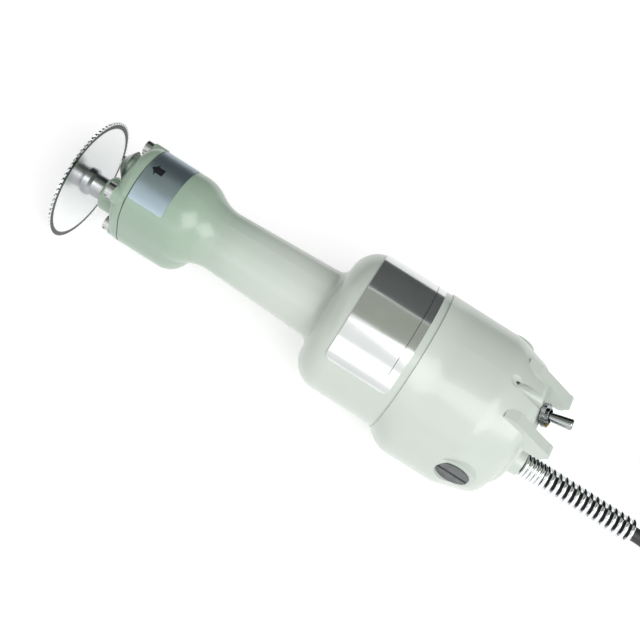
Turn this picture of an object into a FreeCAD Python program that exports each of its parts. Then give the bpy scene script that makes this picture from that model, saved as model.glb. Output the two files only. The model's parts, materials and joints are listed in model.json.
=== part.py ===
import FreeCAD, Part
import math
import os

import Sketcher
from FreeCAD import Rotation, Vector

# Oscillating plaster cast cutter, millimetres. +X runs from the blade to the cord, +Z towards
# the side with the plates. The origin is on the surface that the cutter stands on, mid length.
SIZES = {
    # Blade and its spindle
    "blade_diameter": 66.6,
    "blade_thickness": 1.0,
    "blade_bore_radius": 4.05,
    "tooth_count": 72,
    "tooth_depth": 1.3,
    "tooth_width": 2.0,
    "blade_standoff": 10.1,
    "spindle_drop": 19.3,
    "spindle_radius": 3.98,
    "spindle_tip": 3.3,
    "spindle_cone": 0.5,
    "pilot_radius": 3.4,
    "pilot_length": 2.6,
    "washer_radius": 7.2,
    "washer_thickness": 1.6,
    "spacer_radius": 5.9,
    "nut_radius": 6.3,
    "nut_height": 5.0,
    # Head and nose cap
    "head_face_x": -126.4,
    "head_radius": 22.5,
    "head_drop": 9.5,
    "head_length": 22.8,
    "head_taper": 22.5,
    "head_wall": 3.0,
    "head_rounding": 11.0,
    "head_cavity": 20.8,
    "gasket_thickness": 0.5,
    "gasket_width": 6.8,
    "cap_depth": 7.6,
    "cap_rounding": 5.6,
    "cap_hollow": 4.0,
    "nose_radius": 9.3,
    "nose_length": 14.2,
    "nose_rounding": 2.6,
    "cap_pad_radius": 4.5,
    "cap_pad_height": 7.0,
    "cap_screw_radius": 1.5,
    "cap_screw_head": 3.8,
    "cap_screw_head_height": 3.8,
    "cap_screw_length": 15.0,
    "cap_screw_upper_z": 10.7,
    "cap_screw_lower_z": -18.0,
    "cap_screw_y": 15.4,
    "cap_boss_radius": 3.4,
    "cap_boss_length": 9.0,
    "plug_z": 13.0,
    "plug_radius": 2.6,
    "plug_pad_radius": 4.4,
    "plug_pad_height": 1.6,
    "plug_cone_radius": 8.0,
    "plug_tip_radius": 3.4,
    "plug_proud": 3.8,
    "plug_head_height": 0.9,
    # Neck and motor housing
    "neck_front_radius": 15.6,
    "neck_rear_radius": 17.9,
    "neck_length": 55.0,
    "neck_bore_radius": 10.0,
    "motor_radius": 36.8,
    "shoulder_radius": 14.3,
    "motor_length": 33.5,
    "motor_bore_radius": 31.2,
    "front_wall": 14.3,
    "tail_length": 24.0,
    "tail_clearance": 0.3,
    # Rear housing
    "rear_radius": 41.3,
    "rear_drop": 6.5,
    "seam_step": 0.8,
    "flare_length": 13.0,
    "barrel_length": 23.0,
    "rear_shoulder_bend": 20.0,
    "rear_cone_length": 12.6,
    "rear_bevel_bend": 8.0,
    "rear_bevel": 5.0,
    "rear_wall": 2.4,
    "rear_end_wall": 3.4,
    "long_screw_inset": 4.9,
    "long_screw_radius": 1.5,
    "long_screw_head": 2.7,
    "long_screw_head_height": 2.4,
    "long_screw_length": 26.0,
    "long_boss_radius": 4.3,
    "top_lug_radius": 2.1,
    "top_lug_length": 10.0,
    "scallop_radius": 8.0,
    "scallop_depth": 1.9,
    "ear_gap": 23.0,
    "ear_thickness": 5.5,
    "ear_bottom": 14.0,
    "ear_top": 22.8,
    "ear_root_top": 30.8,
    "ear_reach": 9.8,
    "ear_rounding": 3.4,
    "cord_drop": 27.5,
    "collar_root_radius": 9.0,
    "collar_tip_radius": 7.2,
    "collar_reach": 12.9,
    # Switch
    "switch_z": 22.0,
    "switch_tilt": 37.0,
    "lever_angle": 23.0,
    "switch_nut_radius": 5.6,
    "switch_nut_height": 2.2,
    "bushing_radius": 3.4,
    "switch_width": 12.0,
    "switch_height": 7.0,
    "switch_depth": 9.0,
    "switch_neck": 2.6,
    "lever_length": 13.3,
    "lever_seat": 0.6,
    "lever_root_radius": 1.95,
    "lever_tip_radius": 2.75,
    "lever_tip_rounding": 0.9,
    # Motor
    "shaft_radius": 3.98,
    "shaft_front_radius": 2.6,
    "eccentric_radius": 4.5,
    "eccentric_throw": 1.0,
    "small_bearing_radius": 8.0,
    "small_bearing_width": 5.0,
    "large_bearing_radius": 11.0,
    "large_bearing_width": 7.0,
    "bearing_bore_radius": 4.0,
    "drive_bearing_radius": 8.5,
    "seat_clearance": 0.02,
    "fork_width": 27.2,
    "fork_gap": 22.0,
    "fork_thickness": 6.0,
    "fork_reach": 5.0,
    "fork_hub_radius": 7.0,
    "fork_slot_floor": 11.6,
    "armature_radius": 20.0,
    "armature_length": 34.0,
    "winding_radius": 17.5,
    "winding_overhang": 7.5,
    "field_radius": 31.0,
    "field_bore_radius": 20.8,
    "field_length": 36.0,
    "field_coil_overhang": 5.0,
    "fan_radius": 25.0,
    "fan_hub_radius": 8.0,
    "fan_width": 8.0,
    "fan_blades": 12,
    "fan_gap": 2.5,
    "commutator_radius": 11.0,
    "commutator_length": 17.0,
    "commutator_bars": 24,
    "brush_width": 6.3,
    "brush_length": 13.0,
    "brush_clearance": 0.3,
    "brush_holder_radius": 5.8,
    "brush_spring_radius": 2.6,
    "brush_cap_radius": 8.1,
    "brush_cap_inset": 1.5,
    "brush_boss_rim": 2.4,
    "brush_cap_height": 4.2,
    "brush_slot_width": 1.8,
    "brush_slot_depth": 1.5,
    # Plates
    "plate_thickness": 0.4,
    "data_plate_length": 32.6,
    "data_plate_half_angle": 62.4,
    "data_plate_gap": 3.9,
    "data_plate_corner": 3.0,
    "head_plate_half_angle": 46.7,
    "head_plate_gap": 0.3,
    "head_plate_length": 18.4,
    # Spring guard and cord
    "guard_radius": 7.0,
    "guard_wire": 2.0,
    "guard_closed_length": 9.0,
    "guard_pitch": 3.6,
    "guard_open_turns": 16,
    "cord_radius": 3.75,
    "coil_mean_radius": 39.0,
    "coil_turns_across": 3,
    "coil_turns_high": 4,
    "plug_body_length": 34.0,
    "plug_body_width": 27.0,
    "plug_body_height": 20.0,
    "plug_neck_length": 16.0,
    "plug_neck_radius": 5.4,
    "plug_blade_length": 17.5,
}

ROOT_NAME = "Sizes"
doc = FreeCAD.newDocument("CastCutter")
sheet = doc.addObject("Spreadsheet::Sheet", ROOT_NAME)
for row, (alias, value) in enumerate(SIZES.items(), start=1):
    sheet.set(f"A{row}", alias)
    sheet.set(f"B{row}", str(value))
    sheet.setAlias(f"B{row}", alias)
doc.recompute()


class Size:
    """A length that carries both its number and the sheet formula that gives it."""

    def __init__(self, number, formula):
        self.number = number
        self.formula = formula

    def joined(self, other, sign, number, swapped=False):
        other = as_size(other)
        left, right = (other, self) if swapped else (self, other)
        return Size(number, f"({left.formula} {sign} {right.formula})")

    def __add__(self, other):
        return self.joined(other, "+", self.number + as_size(other).number)

    def __radd__(self, other):
        return self.joined(other, "+", as_size(other).number + self.number, swapped=True)

    def __sub__(self, other):
        return self.joined(other, "-", self.number - as_size(other).number)

    def __rsub__(self, other):
        return self.joined(other, "-", as_size(other).number - self.number, swapped=True)

    def __mul__(self, other):
        return self.joined(other, "*", self.number * as_size(other).number)

    def __rmul__(self, other):
        return self.joined(other, "*", as_size(other).number * self.number, swapped=True)

    def __truediv__(self, other):
        return self.joined(other, "/", self.number / as_size(other).number)

    def __neg__(self):
        return Size(-self.number, f"(-1 * {self.formula})")


def as_size(value):
    return value if isinstance(value, Size) else Size(float(value), repr(float(value)))


def root_of(size):
    return Size(math.sqrt(size.number), f"sqrt({size.formula})")


class Driving:
    """The driving dimensions of the sheet, each read by its name."""

    def __getattr__(self, alias):
        return Size(float(SIZES[alias]), f"{ROOT_NAME}.{alias}")


d = Driving()
FULL_TURN = 360.0


# Slopes of the rear housing's cone and of the bevel behind it
CONE_SINE, CONE_COSINE = 0.28, 0.96
BEVEL_SINE, BEVEL_COSINE = 0.8, 0.6

# Stations along the cutter and heights, worked out from the driving dimensions
axis_z = d.blade_diameter / 2 + d.spindle_drop
spindle_z = d.blade_diameter / 2
cord_z = axis_z - d.cord_drop

head_x = d.head_face_x
head_end = head_x + d.head_length
neck_start = head_end + d.head_taper
neck_end = neck_start + d.neck_length
shoulder_fillet = d.motor_radius - d.shoulder_radius - d.neck_rear_radius
shoulder_face = neck_end + shoulder_fillet
motor_start = shoulder_face + d.shoulder_radius
seam_x = motor_start + d.motor_length
flare_end = seam_x + d.flare_length
rear_shoulder_x = flare_end + d.barrel_length
rear_cone_x = rear_shoulder_x + d.rear_shoulder_bend * CONE_SINE
rear_cone_end = rear_cone_x + d.rear_cone_length
rear_bevel_x = rear_cone_end + d.rear_bevel_bend * (BEVEL_SINE - CONE_SINE)
rear_face = rear_bevel_x + d.rear_bevel
rear_cone_r = d.rear_radius - d.rear_shoulder_bend * (1 - CONE_COSINE)
rear_cone_end_r = rear_cone_r - d.rear_cone_length * CONE_SINE / CONE_COSINE
rear_bevel_r = rear_cone_end_r - d.rear_bevel_bend * (CONE_COSINE - BEVEL_COSINE)
rear_face_r = rear_bevel_r - d.rear_bevel * BEVEL_SINE / BEVEL_COSINE
long_screw_place = d.rear_radius - d.long_screw_inset
long_screw_seat = rear_cone_x
brush_cap_face = d.rear_radius - d.brush_cap_inset

cap_face = head_x - d.cap_depth
nose_face = cap_face - d.nose_length
blade_x = nose_face - d.blade_standoff
motor_cavity = shoulder_face + d.front_wall - 2

small_seat = d.small_bearing_radius + d.seat_clearance
large_seat = d.large_bearing_radius + d.seat_clearance
cap_bearing_x = nose_face + 3.6
spindle_bearing_x = head_x + d.head_cavity
neck_bearing_x = spindle_bearing_x + 14.2
motor_bearing_x = motor_cavity - d.large_bearing_width - 2
fan_x = motor_cavity + d.fan_gap
armature_x = fan_x + d.fan_width + d.winding_overhang + 1.5
field_x = armature_x - 1
commutator_x = armature_x + d.armature_length + d.winding_overhang + 7.5
brush_x = commutator_x + d.commutator_length / 2
rear_bearing_x = rear_face - d.rear_end_wall - 0.6 - d.small_bearing_width
drive_bearing_x = head_x + 11.6
fork_x = drive_bearing_x - 0.5
shaft_front = head_x + 10.0

NODES = []


def helper_body(name):
    """A body that takes part in another piece and isn't a piece itself."""
    part = doc.addObject("PartDesign::Body", name)
    part.Label = name
    return part


def body(name):
    part = helper_body(name)
    NODES.append(part)
    return part


def plane(part, role):
    return next(item for item in part.Origin.OriginFeatures if item.Role == role)


def bind(item, path, size):
    item.setExpression(path, as_size(size).formula)


def place(item, x=0, y=0, z=0):
    for letter, value in (("x", x), ("y", y), ("z", z)):
        bind(item, f"Placement.Base.{letter}", value)
    return item


def new_sketch(part, name, role, shift):
    sketch = part.newObject("Sketcher::SketchObject", name)
    sketch.AttachmentSupport = [(plane(part, role), "")]
    sketch.MapMode = "FlatFace"
    if shift is not None:
        bind(sketch, "AttachmentOffset.Base.z", shift)
    return sketch


def arc_between(start, end, radius):
    """The short arc from start to end: a positive radius turns left, a negative one right."""
    chord = end - start
    half = chord.Length / 2
    side = Vector(-chord.y, chord.x, 0).normalize()
    rise = math.sqrt(max(radius * radius - half * half, 0))
    centre = start + chord / 2 + side * math.copysign(rise, radius)
    middle = centre - side * radius
    return Part.Arc(start, middle, end)


def pin_along(sketch, kind, geometry, position, size, axis):
    """Hold one coordinate of a sketch point, on the axis itself when it is zero."""
    size = as_size(size)
    if size.formula == "0.0":
        sketch.addConstraint(Sketcher.Constraint("PointOnObject", geometry, position, axis))
        return
    number = sketch.addConstraint(
        Sketcher.Constraint(kind, -1, 1, geometry, position, size.number)
    )
    bind(sketch, f"Constraints[{number}]", size)


def pin_height(sketch, geometry, position, v):
    pin_along(sketch, "DistanceY", geometry, position, v, -1)


def pin_point(sketch, geometry, position, u, v):
    """Hold a point of a sketch at u, v measured from the sketch's origin."""
    pin_along(sketch, "DistanceX", geometry, position, u, -2)
    pin_height(sketch, geometry, position, v)


def outline(part, name, role, corners, shift=None):
    """A closed outline through corners (u, v), where (u, v, radius) bends the side that follows."""
    sketch = new_sketch(part, name, role, shift)
    points = [Vector(as_size(c[0]).number, as_size(c[1]).number, 0) for c in corners]
    starts, ends = [], []
    for index, corner in enumerate(corners):
        start, end = points[index], points[(index + 1) % len(points)]
        if len(corner) == 2:
            sketch.addGeometry(Part.LineSegment(start, end))
            starts.append(1)
            ends.append(2)
            continue
        radius = as_size(corner[2])
        sketch.addGeometry(arc_between(start, end, radius.number))
        starts.append(1 if radius.number > 0 else 2)
        ends.append(2 if radius.number > 0 else 1)
    for index, corner in enumerate(corners):
        after = (index + 1) % len(corners)
        sketch.addConstraint(
            Sketcher.Constraint("Coincident", index, ends[index], after, starts[after])
        )
    for index, corner in enumerate(corners):
        pin_point(sketch, index, starts[index], corner[0], corner[1])
        if len(corner) == 3:
            radius = as_size(corner[2])
            size = radius if radius.number > 0 else -radius
            number = sketch.addConstraint(Sketcher.Constraint("Radius", index, size.number))
            bind(sketch, f"Constraints[{number}]", size)
    return sketch


def circles(part, name, role, rounds, shift=None):
    """A sketch of full circles, each (u, v, radius)."""
    sketch = new_sketch(part, name, role, shift)
    for index, (u, v, radius) in enumerate(rounds):
        u, v, radius = as_size(u), as_size(v), as_size(radius)
        middle = Vector(u.number, v.number, 0)
        sketch.addGeometry(Part.Circle(middle, Vector(0, 0, 1), radius.number))
        pin_point(sketch, index, 3, u, v)
        number = sketch.addConstraint(Sketcher.Constraint("Radius", index, radius.number))
        bind(sketch, f"Constraints[{number}]", radius)
    return sketch


def obround(part, name, radius, shift):
    """The head's section: two half circles joined by straight sides, seen along X."""
    sketch = new_sketch(part, name, "YZ_Plane", shift)
    reach, drop = radius.number, d.head_drop.number
    for height, first in ((0, 0), (-drop, math.pi)):
        circle = Part.Circle(Vector(0, height, 0), Vector(0, 0, 1), reach)
        sketch.addGeometry(Part.ArcOfCircle(circle, first, first + math.pi))
    sketch.addGeometry(Part.LineSegment(Vector(-reach, 0, 0), Vector(-reach, -drop, 0)))
    sketch.addGeometry(Part.LineSegment(Vector(reach, -drop, 0), Vector(reach, 0, 0)))
    for one, end, other, start in ((0, 2, 2, 1), (2, 2, 1, 1), (1, 2, 3, 1), (3, 2, 0, 1)):
        sketch.addConstraint(Sketcher.Constraint("Coincident", one, end, other, start))
    for arc, height in ((0, 0), (1, -d.head_drop)):
        pin_point(sketch, arc, 3, 0, height)
        number = sketch.addConstraint(Sketcher.Constraint("Radius", arc, reach))
        bind(sketch, f"Constraints[{number}]", radius)
        for position in (1, 2):
            pin_height(sketch, arc, position, height)
    return sketch


def profile_feature(part, kind, name, sketch):
    feature = part.newObject(kind, name)
    feature.Profile = sketch
    sketch.Visibility = False
    return feature


def revolve(part, name, sketch, kind="PartDesign::Revolution", axis="H_Axis"):
    feature = profile_feature(part, kind, name, sketch)
    feature.ReferenceAxis = (sketch, [axis])
    feature.Angle = FULL_TURN
    return feature


def groove(part, name, sketch, axis="H_Axis"):
    return revolve(part, name, sketch, "PartDesign::Groove", axis)


def pad(part, name, sketch, length, backwards=False, both=False):
    feature = profile_feature(part, "PartDesign::Pad", name, sketch)
    bind(feature, "Length", length)
    feature.Reversed = backwards
    feature.Refine = False
    feature.Midplane = both
    return feature


def pocket(part, name, sketch, length, forwards=True, both=False):
    """A cut of a given length, along the sketch's normal when forwards."""
    feature = profile_feature(part, "PartDesign::Pocket", name, sketch)
    bind(feature, "Length", length)
    feature.Reversed = forwards
    feature.Refine = False
    feature.Midplane = both
    return feature


def polar(part, name, feature, plane_sketch, count):
    """Repeat a feature round the sketch plane's normal."""
    pattern = part.newObject("PartDesign::PolarPattern", name)
    pattern.Originals = [feature]
    pattern.Axis = (plane_sketch, ["N_Axis"])
    pattern.Angle = FULL_TURN
    bind(pattern, "Occurrences", count)
    part.Tip = pattern
    return pattern


def turned(name, corners, z, x=0, y=0):
    """A piece turned about an axis along X: corners are (x, radius)."""
    part = body(name)
    sketch = outline(part, f"{name}_outline", "XZ_Plane", corners)
    revolve(part, f"{name}_turning", sketch)
    place(part, x, y, z)
    return part


def round_edges(part, name, base, chosen, radius):
    """Fillet the edges of base that chosen(edge) picks."""
    doc.recompute()
    feature = part.newObject("PartDesign::Fillet", name)
    names = [f"Edge{i + 1}" for i, edge in enumerate(base.Shape.Edges) if chosen(edge)]
    feature.Base = (base, names)
    bind(feature, "Radius", radius)
    part.Tip = feature
    return feature


def lies_at_x(x):
    """Picks the edges that lie wholly at one station."""
    number = as_size(x).number
    return lambda edge: all(abs(v.Point.x - number) < 1e-4 for v in edge.Vertexes) and (
        edge.BoundBox.XLength < 1e-4
    )


def rod(name, x, y, z, radius, length, axis="X"):
    """A plain cylinder along X or Y, from its lower end."""
    item = doc.addObject("Part::Cylinder", name)
    bind(item, "Radius", radius)
    bind(item, "Height", length)
    turn = Rotation(Vector(0, 1, 0), 90) if axis == "X" else Rotation(Vector(1, 0, 0), -90)
    item.Placement = FreeCAD.Placement(Vector(0, 0, 0), turn)
    return place(item, x, y, z)


def block(name, x, y, z, length, width, height):
    item = doc.addObject("Part::Box", name)
    bind(item, "Length", length)
    bind(item, "Width", width)
    bind(item, "Height", height)
    return place(item, x, y, z)


def cut(name, base, tool):
    item = doc.addObject("Part::Cut", name)
    item.Base = base
    item.Tool = tool
    return item


def fuse(name, parts):
    item = doc.addObject("Part::MultiFuse", name)
    item.Shapes = parts
    return item


def group(name, parts):
    item = doc.addObject("Part::Compound", name)
    item.Links = parts
    item.Label = name
    NODES.append(item)
    return item


def node(item, name):
    item.Label = name
    NODES.append(item)
    return item


def sine_of(angle):
    return round(math.sin(math.radians(angle)), 6)


def cosine_of(angle):
    return round(math.cos(math.radians(angle)), 6)


LONG_SCREW_ANGLES = (0, 120, 240)
CAP_SCREWS = [
    (side * d.cap_screw_y, z) for side in (-1, 1) for z in (d.cap_screw_upper_z, d.cap_screw_lower_z)
]


def flare_sections(part, name, inset, stop):
    """Lofted swelling behind the seam: the section grows and drops from the motor's to the rear's."""
    eased = ((0.0, 0.0), (0.28, 0.45), (0.62, 0.85), (1.0, 1.0))
    first = d.motor_radius + d.seam_step - inset
    growth = d.rear_radius - inset - first
    sections = []
    for index, (along, grown) in enumerate(eased):
        radius = first + growth * grown
        sketch = circles(
            part,
            f"{name}_{index}",
            "YZ_Plane",
            [(0, -d.rear_drop * grown, radius)],
            seam_x + (stop - seam_x) * along,
        )
        sections.append(sketch)
    return sections


def loft(part, kind, name, sections):
    feature = part.newObject(kind, name)
    feature.Profile = sections[0]
    feature.Sections = sections[1:]
    feature.Ruled = False
    return feature


def make_front_housing():
    """Head, neck and motor shell in one casting, bored for the drive and the motor."""
    part = body("front_housing")
    bend = (d.head_taper * d.head_taper + taper_drop() * taper_drop()) / (4 * taper_drop())
    outside = [
        (head_x, 0),
        (seam_x, 0),
        (seam_x, d.motor_radius),
        (motor_start, d.motor_radius, d.shoulder_radius),
        (shoulder_face, d.motor_radius - d.shoulder_radius, -shoulder_fillet),
        (neck_end, d.neck_rear_radius),
        (neck_start, d.neck_front_radius, -bend),
        (head_end + d.head_taper / 2, (d.head_radius + d.neck_front_radius) / 2, bend),
        (head_end, d.head_radius),
        (head_x, d.head_radius),
    ]
    revolve(part, "shell", outline(part, "shell_outline", "XZ_Plane", outside))
    add_head_lobe(part)
    sections = flare_sections(part, "tail", d.rear_wall + d.tail_clearance, flare_end)
    loft(part, "PartDesign::AdditiveLoft", "tail_flare", sections)
    tail_ring = [(0, -d.rear_drop, d.rear_radius - d.rear_wall - d.tail_clearance)]
    tail = circles(part, "tail_section", "YZ_Plane", tail_ring, flare_end)
    pad(part, "tail_end", tail, d.tail_length - d.flare_length)
    cavity = [
        (motor_cavity, 0),
        (seam_x + d.tail_length + 1, 0),
        (seam_x + d.tail_length + 1, d.motor_bore_radius),
        (motor_cavity, d.motor_bore_radius),
    ]
    groove(part, "motor_bore", outline(part, "motor_bore_outline", "XZ_Plane", cavity))
    neck_bearing_end = neck_bearing_x + d.large_bearing_width
    bores = [
        (head_x, 0),
        (motor_cavity + 1, 0),
        (motor_cavity + 1, large_seat),
        (motor_bearing_x, large_seat),
        (motor_bearing_x, d.neck_bore_radius),
        (neck_bearing_end, d.neck_bore_radius),
        (neck_bearing_end, large_seat),
        (head_x, large_seat),
    ]
    groove(part, "neck_bore", outline(part, "neck_bore_outline", "XZ_Plane", bores))
    inside = obround(part, "head_hollow_section", d.head_radius - d.head_wall, head_x - 1)
    pocket(part, "head_hollow", inside, d.head_cavity + 1)
    seat = circles(part, "spindle_seat_circle", "YZ_Plane", [(0, -d.spindle_drop, small_seat)], head_x)
    pocket(part, "spindle_seat", seat, d.head_cavity + d.small_bearing_width)
    bosses = circles(
        part, "cap_boss_circles", "YZ_Plane", [(y, z, d.cap_boss_radius) for y, z in CAP_SCREWS], head_x
    )
    pad(part, "cap_bosses", bosses, d.cap_boss_length)
    holes = circles(
        part, "cap_hole_circles", "YZ_Plane", [(y, z, d.cap_screw_radius) for y, z in CAP_SCREWS], head_x
    )
    pocket(part, "cap_holes", holes, d.cap_boss_length - 1)
    lug_z = long_screw_place - d.rear_drop
    lug_x = seam_x + d.tail_length - d.top_lug_length
    lug = circles(part, "top_lug_circle", "YZ_Plane", [(0, lug_z, d.top_lug_radius)], lug_x)
    pad(part, "top_lug", lug, d.top_lug_length)
    for angle in LONG_SCREW_ANGLES:
        hole = circles(part, f"long_hole_{angle}", "YZ_Plane", [long_screw_at(angle)], seam_x - 1)
        pocket(part, f"long_screw_hole_{angle}", hole, d.tail_length + 2)
    place(part, 0, 0, axis_z)
    return part


def add_head_lobe(part):
    """The head's lower lobe: straight sides and a round underside, both rounded at the back."""
    lobe_end = head_end + d.head_rounding
    inner = d.head_radius - d.head_rounding
    under = [
        (head_x, -d.head_drop), (lobe_end, -d.head_drop),
        (lobe_end, inner - d.head_drop, d.head_rounding),
        (head_end, d.head_radius - d.head_drop), (head_x, d.head_radius - d.head_drop),
    ]
    revolve(part, "head_underside", outline(part, "underside_outline", "XZ_Plane", under), axis="Edge1")
    side = [
        (head_x, -d.head_radius), (head_end, -d.head_radius, d.head_rounding), (lobe_end, -inner),
        (lobe_end, inner, d.head_rounding), (head_end, d.head_radius), (head_x, d.head_radius),
    ]
    plan = outline(part, "head_side_outline", "XY_Plane", side, -d.head_drop)
    pad(part, "head_sides", plan, d.head_drop)


def taper_drop():
    return d.head_radius - d.neck_front_radius


def long_screw_at(angle, radius=None):
    """Centre of a long screw's hole, from the main axis, and its radius."""
    sine = sine_of(angle)
    y = long_screw_place * sine if sine else 0
    z = long_screw_place * cosine_of(angle) - d.rear_drop
    return y, z, radius or d.long_screw_radius


def make_nose_cap():
    """Domed cap that closes the head, with screw pads and the boss that the spindle runs in."""
    part = body("nose_cap")
    front = head_x - d.gasket_thickness
    shell = pad(
        part, "cap", obround(part, "cap_section", d.head_radius, cap_face), front - cap_face
    )
    round_edges(part, "cap_dome", shell, lies_at_x(cap_face), d.cap_rounding)
    pads = [(y, z, d.cap_pad_radius) for y, z in CAP_SCREWS]
    pad_sketch = circles(part, "pad_circles", "YZ_Plane", pads, head_x - d.cap_pad_height)
    pad(part, "screw_pads", pad_sketch, d.cap_pad_height - d.gasket_thickness)
    nose = circles(part, "nose_circle", "YZ_Plane", [(0, -d.spindle_drop, d.nose_radius)], nose_face)
    boss = pad(part, "nose", nose, front - nose_face)
    round_edges(part, "nose_round", boss, lies_at_x(nose_face), d.nose_rounding)
    plug = circles(
        part, "plug_pad_circle", "YZ_Plane", [(0, d.plug_z, d.plug_pad_radius)],
        cap_face - d.plug_pad_height,
    )
    pad(part, "plug_pad", plug, d.plug_pad_height + 3)
    hollow = obround(part, "cap_hollow_section", d.head_radius - d.head_wall, front + 1)
    pocket(part, "cap_hollow_cut", hollow, d.cap_hollow + 1, forwards=False)
    inner_nose = circles(
        part, "inner_nose_circle", "YZ_Plane", [(0, -d.spindle_drop, d.nose_radius)], front
    )
    pad(part, "inner_nose", inner_nose, d.cap_hollow, backwards=True)
    inner_pads = circles(part, "inner_pad_circles", "YZ_Plane", pads, front)
    pad(part, "inner_pads", inner_pads, d.cap_hollow, backwards=True)
    seat = circles(part, "nose_seat_circle", "YZ_Plane", [(0, -d.spindle_drop, small_seat)], front + 1)
    pocket(part, "nose_seat", seat, front + 1 - cap_bearing_x, forwards=False)
    bore = circles(
        part, "nose_bore_circle", "YZ_Plane", [(0, -d.spindle_drop, d.spindle_radius + 0.6)],
        nose_face - 1,
    )
    pocket(part, "nose_bore", bore, d.nose_length + 3)
    recess_x = cap_face - 5
    recesses = circles(
        part, "screw_recess_circles", "YZ_Plane",
        [(y, z, d.cap_screw_head + 0.35) for y, z in CAP_SCREWS], recess_x,
    )
    pocket(part, "screw_recesses", recesses, head_x - d.cap_pad_height - recess_x)
    holes = circles(
        part, "screw_hole_circles", "YZ_Plane",
        [(y, z, d.cap_screw_radius + 0.1) for y, z in CAP_SCREWS], cap_face - 5,
    )
    pocket(part, "screw_holes", holes, d.cap_depth + 10)
    plug_hole = circles(
        part, "plug_hole_circle", "YZ_Plane", [(0, d.plug_z, d.plug_radius)],
        cap_face - d.plug_pad_height - 1,
    )
    pocket(part, "plug_hole", plug_hole, d.plug_pad_height + 4)
    place(part, 0, 0, axis_z)
    return part


def make_gasket():
    part = body("cap_gasket")
    sheet_x = head_x - d.gasket_thickness
    outside = obround(part, "gasket_section", d.head_radius - 0.2, sheet_x)
    pad(part, "gasket", outside, d.gasket_thickness)
    inside = obround(part, "gasket_hole_section", d.head_radius - d.gasket_width, sheet_x - 1)
    pocket(part, "gasket_hole", inside, d.gasket_thickness + 2)
    seat = circles(part, "gasket_seat_circle", "YZ_Plane", [(0, -d.spindle_drop, small_seat)], sheet_x - 1)
    pocket(part, "gasket_seat", seat, d.gasket_thickness + 2)
    holes = circles(
        part, "gasket_screw_circles", "YZ_Plane",
        [(y, z, d.cap_screw_radius + 0.1) for y, z in CAP_SCREWS], sheet_x - 1,
    )
    pocket(part, "gasket_screws", holes, d.gasket_thickness + 2)
    place(part, 0, 0, axis_z)


def slotted_head(name, x, y, z, radius, height, slot_from_left=True):
    """A pan head with a screwdriver slot, its flat side at x, facing -X or +X."""
    start = x - height if slot_from_left else x
    head = rod(f"{name}_disc", start, y, z, radius, height)
    slot_x = start - height * 0.6 if slot_from_left else start + height * 0.6
    width = radius * 0.28
    slot = block(f"{name}_slot", slot_x, y - radius * 1.5, z - width / 2, height, radius * 3, width)
    return cut(f"{name}_head", head, slot)


def make_cap_screws():
    screws = []
    for number, (y, z) in enumerate(CAP_SCREWS, start=1):
        seat_x = head_x - d.cap_pad_height
        name = f"cap_screw_{number}"
        head = slotted_head(name, seat_x, y, axis_z + z, d.cap_screw_head, d.cap_screw_head_height)
        shank = rod(f"{name}_shank", seat_x, y, axis_z + z, d.cap_screw_radius, d.cap_screw_length)
        screws.append(fuse(f"{name}_whole", [head, shank]))
    group("nose_cap_screws", screws)
    seat_x = cap_face - d.plug_pad_height
    cone = doc.addObject("Part::Cone", "oil_plug_cone")
    bind(cone, "Radius1", d.plug_tip_radius)
    bind(cone, "Radius2", d.plug_cone_radius)
    bind(cone, "Height", d.plug_proud)
    cone.Placement = FreeCAD.Placement(Vector(0, 0, 0), Rotation(Vector(0, 1, 0), 90))
    place(cone, seat_x - d.plug_proud, 0, axis_z + d.plug_z)
    head = slotted_head(
        "oil_plug", seat_x - d.plug_proud, 0, axis_z + d.plug_z, d.plug_tip_radius - 0.4, d.plug_head_height
    )
    shank = rod("oil_plug_shank", seat_x, 0, axis_z + d.plug_z, d.plug_radius, d.plug_pad_height + 2)
    node(fuse("oil_plug_whole", [head, cone, shank]), "oil_plug")


def make_blade():
    """Disc with a ring of fine teeth, and the hole that it is clamped by."""
    part = body("saw_blade")
    radius = d.blade_diameter / 2
    disc = circles(part, "disc_circle", "YZ_Plane", [(0, 0, radius), (0, 0, d.blade_bore_radius)])
    pad(part, "disc", disc, d.blade_thickness, both=True)
    gap = [
        (-d.tooth_width / 2, radius + 0.2),
        (0, radius - d.tooth_depth),
        (d.tooth_width / 2, radius + 0.2),
    ]
    notch = outline(part, "tooth_gap_outline", "YZ_Plane", gap)
    tooth_gap = pocket(part, "tooth_gap", notch, d.blade_thickness * 2, both=True)
    polar(part, "teeth", tooth_gap, notch, d.tooth_count)
    place(part, blade_x, 0, spindle_z)


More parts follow.
